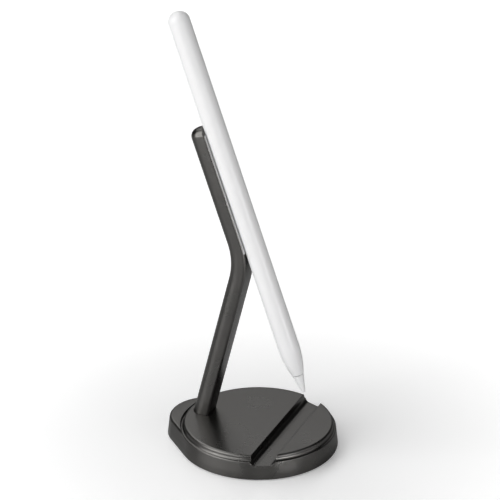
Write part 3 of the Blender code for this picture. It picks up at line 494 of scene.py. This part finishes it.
@dataclass
class TopDisc:
    """Raised disc with a rounded edge and a hollow foot, cut across by the tablet groove, on a spigot."""

    post: Post
    groove: Groove = field(default_factory=Groove)
    radius: float = 31.5
    round_width: float = 1.0
    round_fall: float = 0.9
    foot_radius: float = 32.2
    foot_level: float = 8.03
    underside: float = 8.02
    spigot_radius: float = 29.98
    spigot_level: float = 5.0
    roof_share: float = 0.97
    screw_circle: float = 27.75
    screw_angles: tuple[float, ...] = (15.0, 165.0, 270.0)
    screw_hole: float = 1.0
    screw_depth: float = 3.3
    screw_steps: int = 24
    steps: int = 90
    round_steps: int = 12

    def rim(self) -> tuple[np.ndarray, np.ndarray]:
        """The rim's profile from its foot up.

        Formula: a hollow quarter ellipse from the foot to the side, then a full quarter ellipse to the top.

        Returns:
            The radii and the levels.
        """
        turn = np.linspace(0.0, math.pi / 2, self.round_steps)
        side = self.groove.top - self.round_fall
        hollow = self.foot_radius - (self.foot_radius - self.radius) * np.sin(turn)
        rise = side - (side - self.foot_level) * np.cos(turn)
        full = self.radius - self.round_width * (1.0 - np.cos(turn))
        crown = side + self.round_fall * np.sin(turn)
        radius = np.concatenate([[self.foot_radius], hollow, full[1:]])
        return radius, np.concatenate([[self.underside], rise, crown[1:]])

    def build(self) -> bpy.types.Object:
        """Builds the disc from a roof and two sides that share its edge.

        Formula: at each y the section is a rectangle of half-width sqrt(R(z)^2 - y^2) under the height h(y),
        where R(z) is the rim's profile and h(y) the groove's section.

        Returns:
            The disc.
        """
        section = cross_level(self.groove.section(), self.underside, copies=2)
        fronts = self.steps // 3
        inner = slice(fronts - 1, fronts - 1 + len(section))
        heights = np.full(fronts + len(section) - 2 + self.steps, self.groove.top)
        heights[inner] = section[:, 1]
        below = heights <= self.underside
        crossing = np.flatnonzero(heights == self.underside)
        below[crossing[[0, -1]]] = False
        rim_radius, rim_level = self.rim()

        def edge(radius: np.ndarray, level: np.ndarray) -> np.ndarray:
            """Points of one side at each column for a radius and level per column."""
            return np.column_stack([notched_arc(radius, section, math.pi / 2, self.steps), level])

        spigot = np.full(len(heights), self.spigot_radius)
        rows = [edge(spigot, np.full(len(heights), self.spigot_level)),
                edge(spigot, np.minimum(heights, self.underside))]
        for level in rim_level:
            reach = np.minimum(heights, level)
            rows.append(edge(np.where(below, spigot, np.interp(reach, rim_level, rim_radius)), reach))
        side = np.stack(rows)
        outer = side[-1]
        neck = self.roof_share * outer[:, 0]
        neck[inner] = np.sqrt(np.maximum(self.spigot_radius ** 2 - section[:, 0] ** 2, 0.0))
        across = np.stack([-outer[:, 0], -neck, np.zeros(len(heights)), neck, outer[:, 0]], -1)
        y, z = (np.broadcast_to(outer[:, [axis]], across.shape) for axis in (1, 2))
        mirror = side * OTHER_SIDE
        surface = Surface().grid(np.stack([across, y, z], -1)).grid(side).grid(mirror)
        surface.cap(np.vstack([side[0], mirror[0][-2:0:-1]]))
        return carve(surface.make("disc_top"), self.post.foot_tools(self.spigot_level) + self.screw_tools())

    def screw_tools(self) -> list[bpy.types.Object]:
        """Upright cylinders where screws go up into the disc.

        Returns:
            The tools.
        """
        turn = np.radians(self.screw_angles)
        centres = self.screw_circle * np.stack([np.cos(turn), np.sin(turn)], -1)
        rings = [ring(centre, self.screw_hole, self.screw_steps) for centre in centres]
        low, high = self.spigot_level - PAST, self.spigot_level + self.screw_depth
        return [lifted(circle, low, high).make("screw_tool") for circle in rings]


@dataclass
class Housing:
    """Drafted base with a pear outline, a ledge round the disc, the groove's notch and the inlet's hole."""

    groove: Groove = field(default_factory=Groove)
    radius: float = 32.7
    lobe_radius: float = 17.0
    lobe_y: float = 22.4
    bottom: float = 0.4
    ledge: float = 8.0
    top: float = 8.7
    draft: float = 0.9
    edge_round: float = 0.5
    lobe_round: float = 1.0
    foot_round: float = 0.3
    recess: float = 30.0
    rim: float = 2.7
    roof: float = 6.9
    shelf_top: float = 4.7
    shelf_bottom: float = 2.5
    well: float = 25.5
    moat_radius: float = 33.05
    moat_depth: float = 0.4
    moat_turn: float = 74.0
    port_half: tuple[float, float] = (4.77, 1.88)
    port_corner: float = 1.6
    port_level: float = 4.98
    port_steps: int = 10
    arc_steps: int = 96
    line_steps: int = 8
    lobe_steps: int = 48
    foot_steps: int = 5
    edge_steps: int = 9
    ledge_steps: int = 216

    @property
    def join_angle(self) -> float:
        """Angle in radians where the big circle goes over into the tangent."""
        return math.pi / 2 - math.acos((self.radius - self.lobe_radius) / self.lobe_y)

    def outline(self, offsets: np.ndarray, notch: np.ndarray) -> np.ndarray:
        """Right half of the pear outline, front to rear.

        Formula: the big circle past the groove, then the tangent from n * R to centre + n * r, with n the
        normal where it starts, then the small circle, each moved out by the point's offset.

        Args:
            offsets: Distance outside the ledge's outline at each point.
            notch: The groove's section below the lobe's top.

        Returns:
            Points (x, y).
        """
        arcs, lines, lobe = np.split(offsets, [-self.line_steps - self.lobe_steps, -self.lobe_steps])
        normal = np.array([math.cos(self.join_angle), math.sin(self.join_angle)])
        start = (self.radius + lines[:, None]) * normal
        stop = np.array([0.0, self.lobe_y]) + (self.lobe_radius + lines[:, None]) * normal
        share = np.linspace(0.0, 1.0, self.line_steps + 1)[1:, None]
        turn = np.linspace(self.join_angle, math.pi / 2, self.lobe_steps + 1)[1:]
        small = self.lobe_radius + lobe
        return np.vstack([notched_arc(self.radius + arcs, notch, self.join_angle, self.arc_steps),
                          start + share * (stop - start),
                          np.stack([small * np.cos(turn), self.lobe_y + small * np.sin(turn)], -1)])

    def circle(self, radius: float, levels: np.ndarray, notch: np.ndarray) -> np.ndarray:
        """A row on a plain circle, with as many points as the outline.

        Args:
            radius: The circle's radius.
            levels: Each point's level.
            notch: The groove's section below the lobe's top.

        Returns:
            Points (x, y, z).
        """
        turn = np.linspace(self.join_angle, math.pi / 2, self.line_steps + self.lobe_steps + 1)[1:]
        front = notched_arc(np.full(len(levels) - len(turn), radius), notch, self.join_angle, self.arc_steps)
        rear = radius * np.stack([np.cos(turn), np.sin(turn)], -1)
        return np.column_stack([np.vstack([front, rear]), levels])

    def build(self) -> bpy.types.Object:
        """Builds the shell as one loop of rows round the wall, carried along the outline.

        Formula: the wall widens downwards by draft * (1 - height share below the ledge), and its top follows
        the lower of the lobe's top and the groove.

        Returns:
            The housing.
        """
        section = cross_level(self.groove.section(), self.top, copies=1)
        notch = section[section[:, 1] <= self.top]
        first = self.arc_steps // 3 - 1
        count = first + len(notch) - 1 + self.arc_steps + self.line_steps + self.lobe_steps
        tops = np.full(count, self.top)
        tops[first:first + len(notch)] = notch[:, 1]
        lobe = np.arange(count) >= count - self.line_steps - self.lobe_steps - 1
        rounds = np.where(tops < self.ledge, self.edge_round, self.lobe_round)

        def wall(inset: np.ndarray | float, levels: np.ndarray) -> np.ndarray:
            """Points of a row on the drafted wall, drawn in by an inset."""
            offsets = self.draft * (1.0 - (levels - self.bottom) / (self.ledge - self.bottom)) - inset
            return np.column_stack([self.outline(offsets, notch), levels])

        def cavity(levels: np.ndarray) -> np.ndarray:
            """Points of a row on the cavity's upright wall."""
            return np.column_stack([self.outline(np.full(count, -self.rim), notch), levels])

        rows = []
        for turn in np.linspace(-math.pi / 2, 0.0, self.foot_steps):
            levels = np.full(count, self.bottom + self.foot_round * (1.0 + math.sin(turn)))
            rows.append(wall(self.foot_round * (1.0 - math.cos(turn)), levels))
        foot = self.bottom + self.foot_round
        for share in (0.5, 1.0):
            rows.append(wall(0.0, foot + share * (tops - rounds - foot)))
        for turn in np.linspace(0.0, math.pi / 2, self.edge_steps)[1:]:
            rows.append(wall(rounds * (1.0 - math.cos(turn)), tops - rounds * (1.0 - math.sin(turn))))
        for levels in (tops, np.where(lobe, self.roof, self.shelf_top)):
            rows.append(self.circle(self.recess, levels, notch))
        ceiling = cavity(np.where(lobe, self.roof, self.shelf_bottom))
        between = 0.5 * (rows[-1] + ceiling)
        for level in (self.shelf_top, self.shelf_bottom):
            shelf = self.circle(self.well, np.full(count, level), notch)
            rows.append(np.where(lobe[:, None], between, shelf))
        rows += [ceiling, cavity(np.full(count, self.bottom))]
        right = np.stack(rows + rows[:1])
        shell = Surface().grid(right).grid(right * OTHER_SIDE).make("base_shell")
        return self.open_port(carve(shell, [self.ledge_tool()]))

    def ledge_tool(self) -> bpy.types.Object:
        """Tool for what lies above the ledge inside the raised lobe.

        Formula: an arc from the flat ledge down over its edge, then the floor of the channel out to the
        lobe's wall, all turned about the disc's axis.

        Returns:
            The tool.
        """
        slope = self.draft * self.edge_round / (self.ledge - self.bottom)
        middle = self.radius + slope - self.edge_round
        turn = np.radians(np.linspace(0.0, self.moat_turn, self.edge_steps))
        edge = np.stack([middle + self.edge_round * np.sin(turn),
                         self.ledge - self.edge_round * (1.0 - np.cos(turn))], -1)
        high = self.top + self.rim
        profile = np.vstack([(0.0, self.ledge), edge, (self.moat_radius, self.ledge - self.moat_depth),
                             (self.moat_radius, high), (0.0, high)])
        return turned(profile, self.ledge_steps).make("ledge_tool")

    def open_port(self, shell: bpy.types.Object) -> bpy.types.Object:
        """Cuts the opening for the power plug through the rear wall.

        Formula: a rectangle with a quarter circle at each corner, carried straight back.

        Args:
            shell: The housing.

        Returns:
            The housing with its opening.
        """
        x, z = (half - self.port_corner for half in self.port_half)
        middles = ((x, z), (-x, z), (-x, -z), (x, -z))
        x, z = np.vstack([arc(middle, self.port_corner, 90.0 * quarter, 90.0 * (quarter + 1), self.port_steps)
                          for quarter, middle in enumerate(middles)]).T
        reach = self.lobe_y + self.lobe_radius
        ends = [np.stack([x, np.full(len(x), y), self.port_level + z], -1)
                for y in (reach - 2.0 * self.rim, reach + self.rim)]
        return carve(shell, [swept(np.stack(ends)).make("port_tool")])


# The post and its cradle


@dataclass
class Post:
    """Bent bar of D section with the stylus's channel and the pocket of the charging pad."""

    half_width: float = 4.78
    depth: float = 7.71
    corner: float = 1.0
    least_corner: float = 0.1
    foot_y: float = 21.248
    disc_top: float = 10.3
    pocket: float = 0.7
    lower_lean: float = math.radians(14.46)
    upper_lean: float = math.radians(19.61)
    lower_length: float = 74.41
    upper_length: float = 59.3
    bend_radius: float = 33.2
    end_round: float = 3.4
    below_bend: float = 59.5
    axis_to_front: float = 3.22
    channel_radius: float = 4.75
    channel_start: float = 45.0
    pad_start: float = 64.3
    pad_end: float = 115.8
    pad_half: float = 3.4
    pad_back: float = 2.4
    rim_half: float = 4.37
    rim_depth: float = 0.9
    rim_proud: float = 0.03
    seam: float = 0.06
    foot_gap: float = 0.2
    bore_depth: float = 5.2
    bore_radius: float = 1.1
    coil_start: float = 66.7
    coil_end: float = 113.4
    coil_half: float = 3.2
    coil_back: float = 4.9
    bolt_x: float = 2.6
    bolt_depth: float = 1.9
    bolt_hole: float = 1.15
    bolt_head: float = 2.15
    bolt_sink: float = 1.8
    bolt_run: float = 7.6
    foot_sink: float = 0.3
    foot_rise: float = 1.0
    lead_gap: float = 0.3
    coil_overlap: float = 0.5
    lip_gap: float = 0.12
    pad_round: float = 0.25
    bend_steps: int = 40
    corner_steps: int = 9
    back_steps: int = 41
    end_steps: int = 17
    bore_steps: int = 24
    bolt_steps: int = 32
    channel_steps: int = 96
    trough_steps: int = 33
    round_steps: int = 6

    @property
    def foot(self) -> np.ndarray:
        """Where the front line of the lower leg leaves the disc."""
        return np.array([0.0, self.foot_y, self.disc_top])

    @property
    def foot_level(self) -> float:
        """Level of the post's lowest face."""
        return self.disc_top - self.pocket

    @property
    def meeting(self) -> np.ndarray:
        """Where the front lines of the two legs meet."""
        return self.foot + leg_up(-self.lower_lean) * self.lower_length

    @property
    def bend_centre(self) -> np.ndarray:
        """Centre of the circle that the bend's front line follows."""
        start = self.lower_length - self.bend_radius * math.tan((self.upper_lean + self.lower_lean) / 2)
        return self.foot + leg_up(-self.lower_lean) * start + leg_back(-self.lower_lean) * self.bend_radius

    @property
    def tip(self) -> np.ndarray:
        """The stylus's tip, where distances along it start."""
        down = leg_up(self.upper_lean) * self.below_bend
        return self.meeting - down - leg_back(self.upper_lean) * self.axis_to_front

    @property
    def end(self) -> float:
        """Distance of the post's top end along the stylus."""
        return self.below_bend + self.upper_length

    def section(self, inset: float) -> np.ndarray:
        """The bar's D section: two corner circles at the front and an arc for the back.

        Args:
            inset: How far it is drawn in all round.

        Returns:
            Points (across, behind the front face).
        """
        half = self.half_width - inset
        corner = max(self.corner - inset, self.least_corner)
        middle = self.depth - self.half_width
        start = math.degrees(math.asin(max(inset + corner - middle, 0.0) / half))
        side = half * math.cos(math.radians(start))
        return np.vstack([
            arc((side - corner, inset + corner), corner, -90.0, 0.0, self.corner_steps),
            arc((0.0, middle), half, start, 180.0 - start, self.back_steps),
            arc((corner - side, inset + corner), corner, 180.0, 270.0, self.corner_steps),
        ])

    def build(self) -> bpy.types.Object:
        """Builds the bar by carrying its section along the legs and the bend, and cuts the cradle into it.

        Formula: front line + across * a + back(lean) * b, with the lean turning evenly from the lower leg's
        to the upper leg's on a circle of the bend's radius.

        Returns:
            The post.
        """
        flat = self.section(0.0)
        ends = (self.foot_level, self.disc_top + self.foot_rise)
        loops = [self.level_loop(flat, level) for level in ends]
        for lean in np.linspace(-self.lower_lean, self.upper_lean, self.bend_steps):
            point = self.bend_centre - leg_back(lean) * self.bend_radius
            loops.append(point + flat[:, :1] * ACROSS + flat[:, 1:] * leg_back(lean))
        for turn in np.linspace(0.0, math.pi / 2, self.end_steps):
            along = self.end - self.end_round * (1.0 - math.sin(turn))
            loops.append(self.beside(along, self.section(self.end_round * (1.0 - math.cos(turn)))))
        tools = self.cradle_tools() + [self.bore_tool()]
        tools += self.bolt_tools(self.disc_top - 2.0 * PAST, self.disc_top + self.bolt_run, self.bolt_hole)
        return carve(swept(np.stack(loops)).make("post_bar"), tools)

    def bore_tool(self) -> bpy.types.Object:
        """Bent round bar that leaves the bore for the coil's lead.

        Formula: a circle carried square to a line that goes from under the foot round the bend to the coil's
        pocket, at the bore's depth behind the front.

        Returns:
            The tool.
        """
        leans = np.linspace(-self.lower_lean, self.upper_lean, self.bore_steps + 1)
        radius = self.bend_radius - self.bore_depth
        bend = np.array([self.bend_centre - leg_back(lean) * radius for lean in leans])
        bend = bend[(bend - self.tip) @ leg_up(self.upper_lean) < self.coil_start + PAST]
        below = self.foot - leg_up(-self.lower_lean) * FAR_PAST
        line = np.vstack([below + leg_back(-self.lower_lean) * self.bore_depth, bend])
        ahead = np.gradient(line, axis=0)
        ahead /= np.linalg.norm(ahead, axis=1, keepdims=True)
        aside = np.cross(ahead, ACROSS)
        circle = ring((0.0, 0.0), self.bore_radius, self.bore_steps)
        loops = line[:, None] + circle[:, :1] * ACROSS + circle[:, 1:] * aside[:, None]
        return swept(loops).make("bore_tool")

    def cradle_tools(self) -> list[bpy.types.Object]:
        """Bars along the stylus for the channel, for the pad with a seam round it, and for the coil.

        Formula: each section (across, behind the front face) is carried straight from end to end.

        Returns:
            The tools.
        """
        scoop = ring((0.0, -self.axis_to_front), self.channel_radius, self.channel_steps)
        sizes = (self.rim_half, self.pad_half, self.rim_depth, self.pad_back)
        rim, half, step, back = (size + self.seam for size in sizes)
        right = np.array([(rim, -back), (rim, step), (half, step), (half, back)])
        pocket = np.vstack([right, right[::-1] * np.array([-1.0, 1.0])])
        x, front, back = self.coil_half, self.pad_back - self.coil_overlap, self.coil_back
        box = np.array([(-x, front), (x, front), (x, back), (-x, back)])
        bars = (
            ("channel_tool", scoop, (self.channel_start, self.end + FAR_PAST)),
            ("pad_tool", pocket, (self.pad_start - self.seam, self.pad_end + self.seam)),
            ("coil_tool", box, (self.coil_start, self.coil_end)),
        )
        return [swept(np.stack([self.beside(along, flat) for along in ends])).make(name)
                for name, flat, ends in bars]

    def bolt_tools(self, low: float, high: float, radius: float) -> list[bpy.types.Object]:
        """Upright cylinders where the post's bolts are, between two levels."""
        y = self.level_loop(np.array([[0.0, self.bolt_depth]]), self.foot_level)[0, 1]
        return [lifted(ring((x, y), radius, self.bolt_steps), low, high).make("bolt_tool")
                for x in (-self.bolt_x, self.bolt_x)]

    def foot_tools(self, spigot: float) -> list[bpy.types.Object]:
        """Tools that open the disc for the foot, the lead and the bolts.

        Args:
            spigot: Level of the disc's lowest face.

        Returns:
            The tools.
        """
        wider = Post(half_width=self.half_width + self.foot_gap, depth=self.depth + 2.0 * self.foot_gap,
                     corner=self.corner + self.foot_gap)
        flat = wider.section(0.0) - np.array([0.0, self.foot_gap])
        ends = (self.foot_level - self.foot_sink, self.disc_top + 2.0 * PAST)
        pocket = swept(np.stack([self.level_loop(flat, level) for level in ends]))
        lead = self.level_loop(np.array([[0.0, self.bore_depth]]), self.foot_level)[0]
        circle = ring((0.0, lead[1]), self.bore_radius + self.lead_gap, self.bore_steps)
        hole = lifted(circle, spigot - PAST, self.foot_level)
        tools = [pocket.make("foot_tool"), hole.make("lead_tool")]
        tools += self.bolt_tools(spigot - PAST, self.foot_level, self.bolt_hole)
        return tools + self.bolt_tools(spigot - PAST, spigot + self.bolt_sink, self.bolt_head)

    def level_loop(self, flat: np.ndarray, level: float) -> np.ndarray:
        """The lower leg's section slid along the leg to a level."""
        loop = self.foot + flat[:, :1] * ACROSS + flat[:, 1:] * leg_back(-self.lower_lean)
        return loop + leg_up(-self.lower_lean) * ((level - loop[:, 2:]) / math.cos(self.lower_lean))

    def beside(self, along: float, flat: np.ndarray) -> np.ndarray:
        """Points at a distance along the stylus, from (across, behind the post's front face)."""
        origin = self.tip + leg_up(self.upper_lean) * along
        return origin + flat[:, :1] * ACROSS + (self.axis_to_front + flat[:, 1:]) * leg_back(self.upper_lean)

    def build_pad(self) -> bpy.types.Object:
        """Builds the pad that lines the channel, with a rim that follows the post's rounded corners.

        Formula: the trough is a circle round the stylus, the rim goes on over the post's corner circle, a
        little proud of it, and the whole section shrinks towards both ends by a quarter circle.

        Returns:
            The pad.
        """
        turns = np.linspace(0.0, math.pi / 2, self.round_steps)
        short, insets = self.pad_round * (1.0 - np.sin(turns)), self.pad_round * (1.0 - np.cos(turns))
        stations = np.concatenate([(self.pad_start + short)[::-1], self.pad_end - short])
        lip = math.sqrt(self.channel_radius ** 2 - (self.axis_to_front - self.rim_proud) ** 2)
        spread = math.degrees(math.asin(lip / self.channel_radius))
        bend = self.half_width - self.corner
        half, low = self.pad_half, self.rim_depth
        loops = []
        for along, inset in zip(stations, np.concatenate([insets[::-1], insets])):
            trough = arc((0.0, -self.axis_to_front), self.channel_radius + inset,
                         90.0 + spread, 90.0 - spread, self.trough_steps)
            across = np.linspace(lip + self.lip_gap, self.rim_half - inset, self.corner_steps)
            past_bend = np.maximum(across - bend, 0.0)
            drop = self.corner - np.sqrt(np.maximum(self.corner ** 2 - past_bend ** 2, 0.0))
            rim = np.stack([across, drop - self.rim_proud + inset], -1)
            right = np.vstack([rim, (rim[-1, 0], low), (half, low), (half, self.pad_back)])
            left = right[::-1] * np.array([-1.0, 1.0])
            loops.append(self.beside(along, np.vstack([trough, right, left])))
        return swept(np.stack(loops)).make("cradle_pad")


# The stylus


@dataclass
class Stylus:
    """White stylus: barrel with a curved nose and a domed end, and a separate tip."""

    tip: np.ndarray
    lean: float
    radius: float = 4.45
    length: float = 166.0
    dome: float = 4.1
    nose: float = 21.6
    nose_curve: float = 2.3
    tip_length: float = 8.0
    tip_radius: float = 2.4
    tip_end: float = 0.9
    seam: float = 0.3
    wall: float = 0.75
    bore: float = 1.2
    socket: float = 1.2
    stud_inset: float = 3.2
    steps: int = 96
    nose_steps: int = 40
    dome_steps: int = 24
    point_steps: int = 10

    def build_barrel(self) -> bpy.types.Object:
        """Builds the barrel as a wall turned about the stylus's axis.

        Formula: r = tip + (full - tip) * (1 - (1 - share) ** curve) along the nose, and a quarter ellipse at
        the far end.

        Returns:
            The barrel.
        """
        start = self.tip_length + self.seam
        along = np.linspace(start, self.nose, self.nose_steps)
        share = (along - self.tip_length) / (self.nose - self.tip_length)
        swell = self.tip_radius + (self.radius - self.tip_radius) * (1.0 - (1.0 - share) ** self.nose_curve)
        turn = np.linspace(0.0, math.pi / 2, self.dome_steps)
        shoulder = self.length - self.dome
        end = np.stack([self.radius * np.cos(turn), shoulder + self.dome * np.sin(turn)], -1)
        inner = self.radius - self.wall
        inside = np.array([(0.0, shoulder), (inner, shoulder), (inner, self.nose + self.wall),
                           (self.bore, self.nose - self.wall), (self.bore, start)])
        profile = np.vstack([np.stack([swell, along], -1), end, inside])
        return placed(turned(profile, self.steps, wrap=True), self.tip, self.lean).make("barrel")

    def build_tip(self) -> bpy.types.Object:
        """Builds the tip as a cone with a socket, turned about the stylus's axis.

        Formula: a quarter circle at the end, then a straight side to the seam.

        Returns:
            The tip.
        """
        turn = np.linspace(0.0, math.pi / 2, self.point_steps)
        end = np.stack([self.tip_end * np.sin(turn), self.tip_end * (1.0 - np.cos(turn))], -1)
        rest = np.array([(self.tip_radius, self.tip_length), (self.socket, self.tip_length),
                         (self.socket, self.stud_inset), (0.0, self.stud_inset)])
        return placed(turned(np.vstack([end, rest]), self.steps), self.tip, self.lean).make("nib")


# The studio


def facing(azimuth: float, elevation: float) -> np.ndarray:
    """Axes of a lamp or camera that looks at the stand from a direction in radians.

    Formula: back = (sin a cos e, -cos a cos e, sin e), right = (cos a, sin a, 0), up = back x right.

    Args:
        azimuth: Angle from the front, counter-clockwise from above.
        elevation: Angle above the floor.

    Returns:
        Its right, its up and its back, as rows.
    """
    level = np.array([math.sin(azimuth), -math.cos(azimuth), 0.0])
    back = level * math.cos(elevation) + np.array([0.0, 0.0, math.sin(elevation)])
    right = np.array([math.cos(azimuth), math.sin(azimuth), 0.0])
    return np.stack([right, np.cross(back, right), back])


def put(thing: bpy.types.Object, axes: np.ndarray, place: np.ndarray) -> None:
    """Places a lamp or camera at a point in metres, with its axes given as rows."""
    rows = np.vstack([np.column_stack([axes.T, place]), (0.0, 0.0, 0.0, 1.0)])
    thing.matrix_world = Matrix(rows.tolist())


@dataclass(frozen=True)
class Softbox:
    """Rectangular soft light, placed by the angles under which the stand sees it.

    The azimuth counts from the camera's side towards the picture's right. Angles are in degrees, lengths in
    metres.
    """

    name: str
    azimuth: float
    elevation: float
    width: float
    height: float
    radiance: float
    distance: float = 2.5
    aim: float = 0.06

    def build(self, camera_azimuth: float) -> None:
        """Builds the light, turned to the stand.

        Formula: the sides are 2 * distance * tan(angle / 2) and the power is pi * area * radiance.

        Args:
            camera_azimuth: The camera's own azimuth in radians.
        """
        axes = facing(camera_azimuth + math.radians(self.azimuth), math.radians(self.elevation))
        data = bpy.data.lights.new(self.name, "AREA")
        data.shape = "RECTANGLE"
        data.size, data.size_y = (2.0 * self.distance * math.tan(math.radians(angle) / 2)
                                  for angle in (self.width, self.height))
        data.energy = math.pi * data.size * data.size_y * self.radiance
        put(linked(self.name, data), axes, axes[2] * self.distance + np.array([0.0, 0.0, self.aim]))


LIGHTS = (
    Softbox("left", -72.0, 32.0, 38.0, 56.0, 2.8),
    Softbox("left_low", -50.0, 2.5, 50.0, 7.0, 4.5),
    Softbox("left_mid", -36.0, 16.0, 28.0, 20.0, 1.5),
    Softbox("left_top", -26.0, 55.0, 50.0, 24.0, 1.2),
    Softbox("front", 4.0, 17.0, 24.0, 10.0, 2.0),
    Softbox("right_low", 40.0, 4.0, 26.0, 8.0, 11.0),
    Softbox("right_side", 76.0, 2.5, 30.0, 7.0, 1.5),
    Softbox("right_high", 60.0, 34.0, 50.0, 24.0, 0.7),
    Softbox("behind", 185.0, 31.0, 50.0, 18.0, 0.8),
    Softbox("behind_left", -150.0, 52.0, 36.0, 26.0, 2.3),
)


@dataclass(frozen=True)
class Studio:
    """Camera, floor and soft light.

    The camera's lengths are millimetres, the floor's metres. Each step of the floor's glow gives two
    distances from the stand and the strengths at them; the weak glow close to the stand is painted shade
    round its foot.
    """

    azimuth: float = math.radians(-67.411)
    elevation: float = math.radians(22.748)
    distance: float = 827.057
    lens: float = 140.903
    shift_right: float = -3.528
    shift_up: float = 80.662
    raised: float = 0.4
    sensor: float = 36.0
    clip: tuple[float, float] = (0.01, 50.0)
    floor_half: float = 6.0
    floor_colour: float = 0.9
    floor_mirrored: float = 0.5
    floor_roughness: float = 0.3
    floor_level: float = -0.00002
    # low glow near the stand is painted shade round its foot; farther out the glow rises to a white backdrop
    glow_and_painted_shade_steps: tuple[tuple[float, ...], ...] = ((0.02, 0.18, 0.22, 0.54), (0.3, 1.2, 0.0, 0.48))
    fill: float = 0.02

    def build(self) -> None:
        """Builds the camera, the floor, the world and the lamps."""
        self.camera()
        self.floor()
        self.world()
        for light in LIGHTS:
            light.build(self.azimuth)

    def camera(self) -> None:
        """Places the camera by its direction, distance and the point that its middle looks at."""
        axes = facing(self.azimuth, self.elevation)
        right, up, back = axes
        place = back * self.distance + right * self.shift_right + up * self.shift_up
        place[2] += self.raised
        data = bpy.data.cameras.new("camera")
        data.lens = self.lens
        data.sensor_width = self.sensor
        data.clip_start, data.clip_end = self.clip
        camera = linked("camera", data)
        put(camera, axes, place * MM)
        bpy.context.scene.camera = camera

    def floor(self) -> None:
        """White floor that takes the shadows.

        It is darker in reflections, and to the camera alone it glows more with distance from the stand, so
        that painted shade darkens the floor round the stand's foot.
        """
        h, z = self.floor_half, self.floor_level
        mesh = bpy.data.meshes.new("floor")
        mesh.from_pydata([(-h, -h, z), (h, -h, z), (h, h, z), (-h, h, z)], [], [(0, 1, 2, 3)])
        floor = linked("floor", mesh)
        material = bpy.data.materials.new("floor")
        material.use_nodes = True
        tree, link = material.node_tree, material.node_tree.links.new
        shader = tree.nodes["Principled BSDF"]
        shader.inputs["Roughness"].default_value = self.floor_roughness
        shader.inputs["Emission Color"].default_value = (1.0, 1.0, 1.0, 1.0)
        ray = add(tree, "LightPath")
        tint = add(tree, "MapRange", {"To Min": self.floor_colour, "To Max": self.floor_mirrored})
        link(ray.outputs["Is Glossy Ray"], tint.inputs["Value"])
        link(tint.outputs["Result"], shader.inputs["Base Color"])
        reach = add(tree, "VectorMath")
        reach.operation = "LENGTH"
        link(add(tree, "TexCoord").outputs["Object"], reach.inputs[0])
        total = add(tree, "Math")
        for slot, (near, far, low, high) in enumerate(self.glow_and_painted_shade_steps):
            level = add(tree, "MapRange", {"From Min": near, "From Max": far, "To Min": low, "To Max": high})
            level.interpolation_type = "SMOOTHSTEP"
            link(reach.outputs["Value"], level.inputs["Value"])
            link(level.outputs["Result"], total.inputs[slot])
        glow = add(tree, "Math")
        glow.operation = "MULTIPLY"
        link(ray.outputs["Is Camera Ray"], glow.inputs[0])
        link(total.outputs["Value"], glow.inputs[1])
        link(glow.outputs["Value"], shader.inputs["Emission Strength"])
        mesh.materials.append(material)

    def world(self) -> None:
        """Even faint light from all round, white only to the camera."""
        world = bpy.data.worlds.new("world")
        world.use_nodes = True
        tree, link = world.node_tree, world.node_tree.links.new
        sky = tree.nodes["Background"].inputs
        sky["Color"].default_value = (1.0, 1.0, 1.0, 1.0)
        level = add(tree, "MapRange", {"To Min": self.fill, "To Max": 1.0})
        link(add(tree, "LightPath").outputs["Is Camera Ray"], level.inputs["Value"])
        link(level.outputs["Result"], sky["Strength"])
        bpy.context.scene.world = world


# Finishes of the nodes that are carried over. Those without an entry are plain steel.
CARRIED = {
    "foot_pad": SILICONE, "circuit_board": BOARD, "usb_receptacle": NICKEL, "usb_tongue": BLACK,
    "charge_controller": CERAMIC, "power_inductor": CERAMIC, "lead_connector": BLACK, "coil_lead": BLACK,
    "transmit_coil": COPPER, "coil_ferrite": CERAMIC, "hold_magnet_lower": NICKEL,
    "hold_magnet_upper": NICKEL, "stylus_battery": NICKEL, "stylus_board": BOARD, "receive_coil": COPPER,
    "stylus_magnet_lower": NICKEL, "stylus_magnet_upper": NICKEL,
}


def main() -> None:
    """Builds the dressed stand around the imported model."""
    logging.basicConfig(level=logging.INFO, format="%(message)s")
    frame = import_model()
    bpy.context.scene.view_settings.view_transform = "Standard"
    for name, node in frame["nodes"].items():
        dress(node, CARRIED.get(name, STEEL))
    post = Post()
    stylus = Stylus(post.tip, post.upper_lean)
    for build, finish, body, node in (
        (TopDisc(post).build, METAL, Body.STAND, "top_disc"),
        (Housing().build, METAL, Body.STAND, "base_housing"),
        (post.build, METAL, Body.STAND, "post"),
        (post.build_pad, PAD, Body.STAND, "charging_pad"),
        (stylus.build_barrel, WHITE, Body.STYLUS, "stylus_barrel"),
        (stylus.build_tip, WHITE, Body.STYLUS, "stylus_tip"),
    ):
        piece = build()
        dress(piece, finish)
        report(piece, body, node)
    Studio().build()


if __name__ == "__main__":
    main()
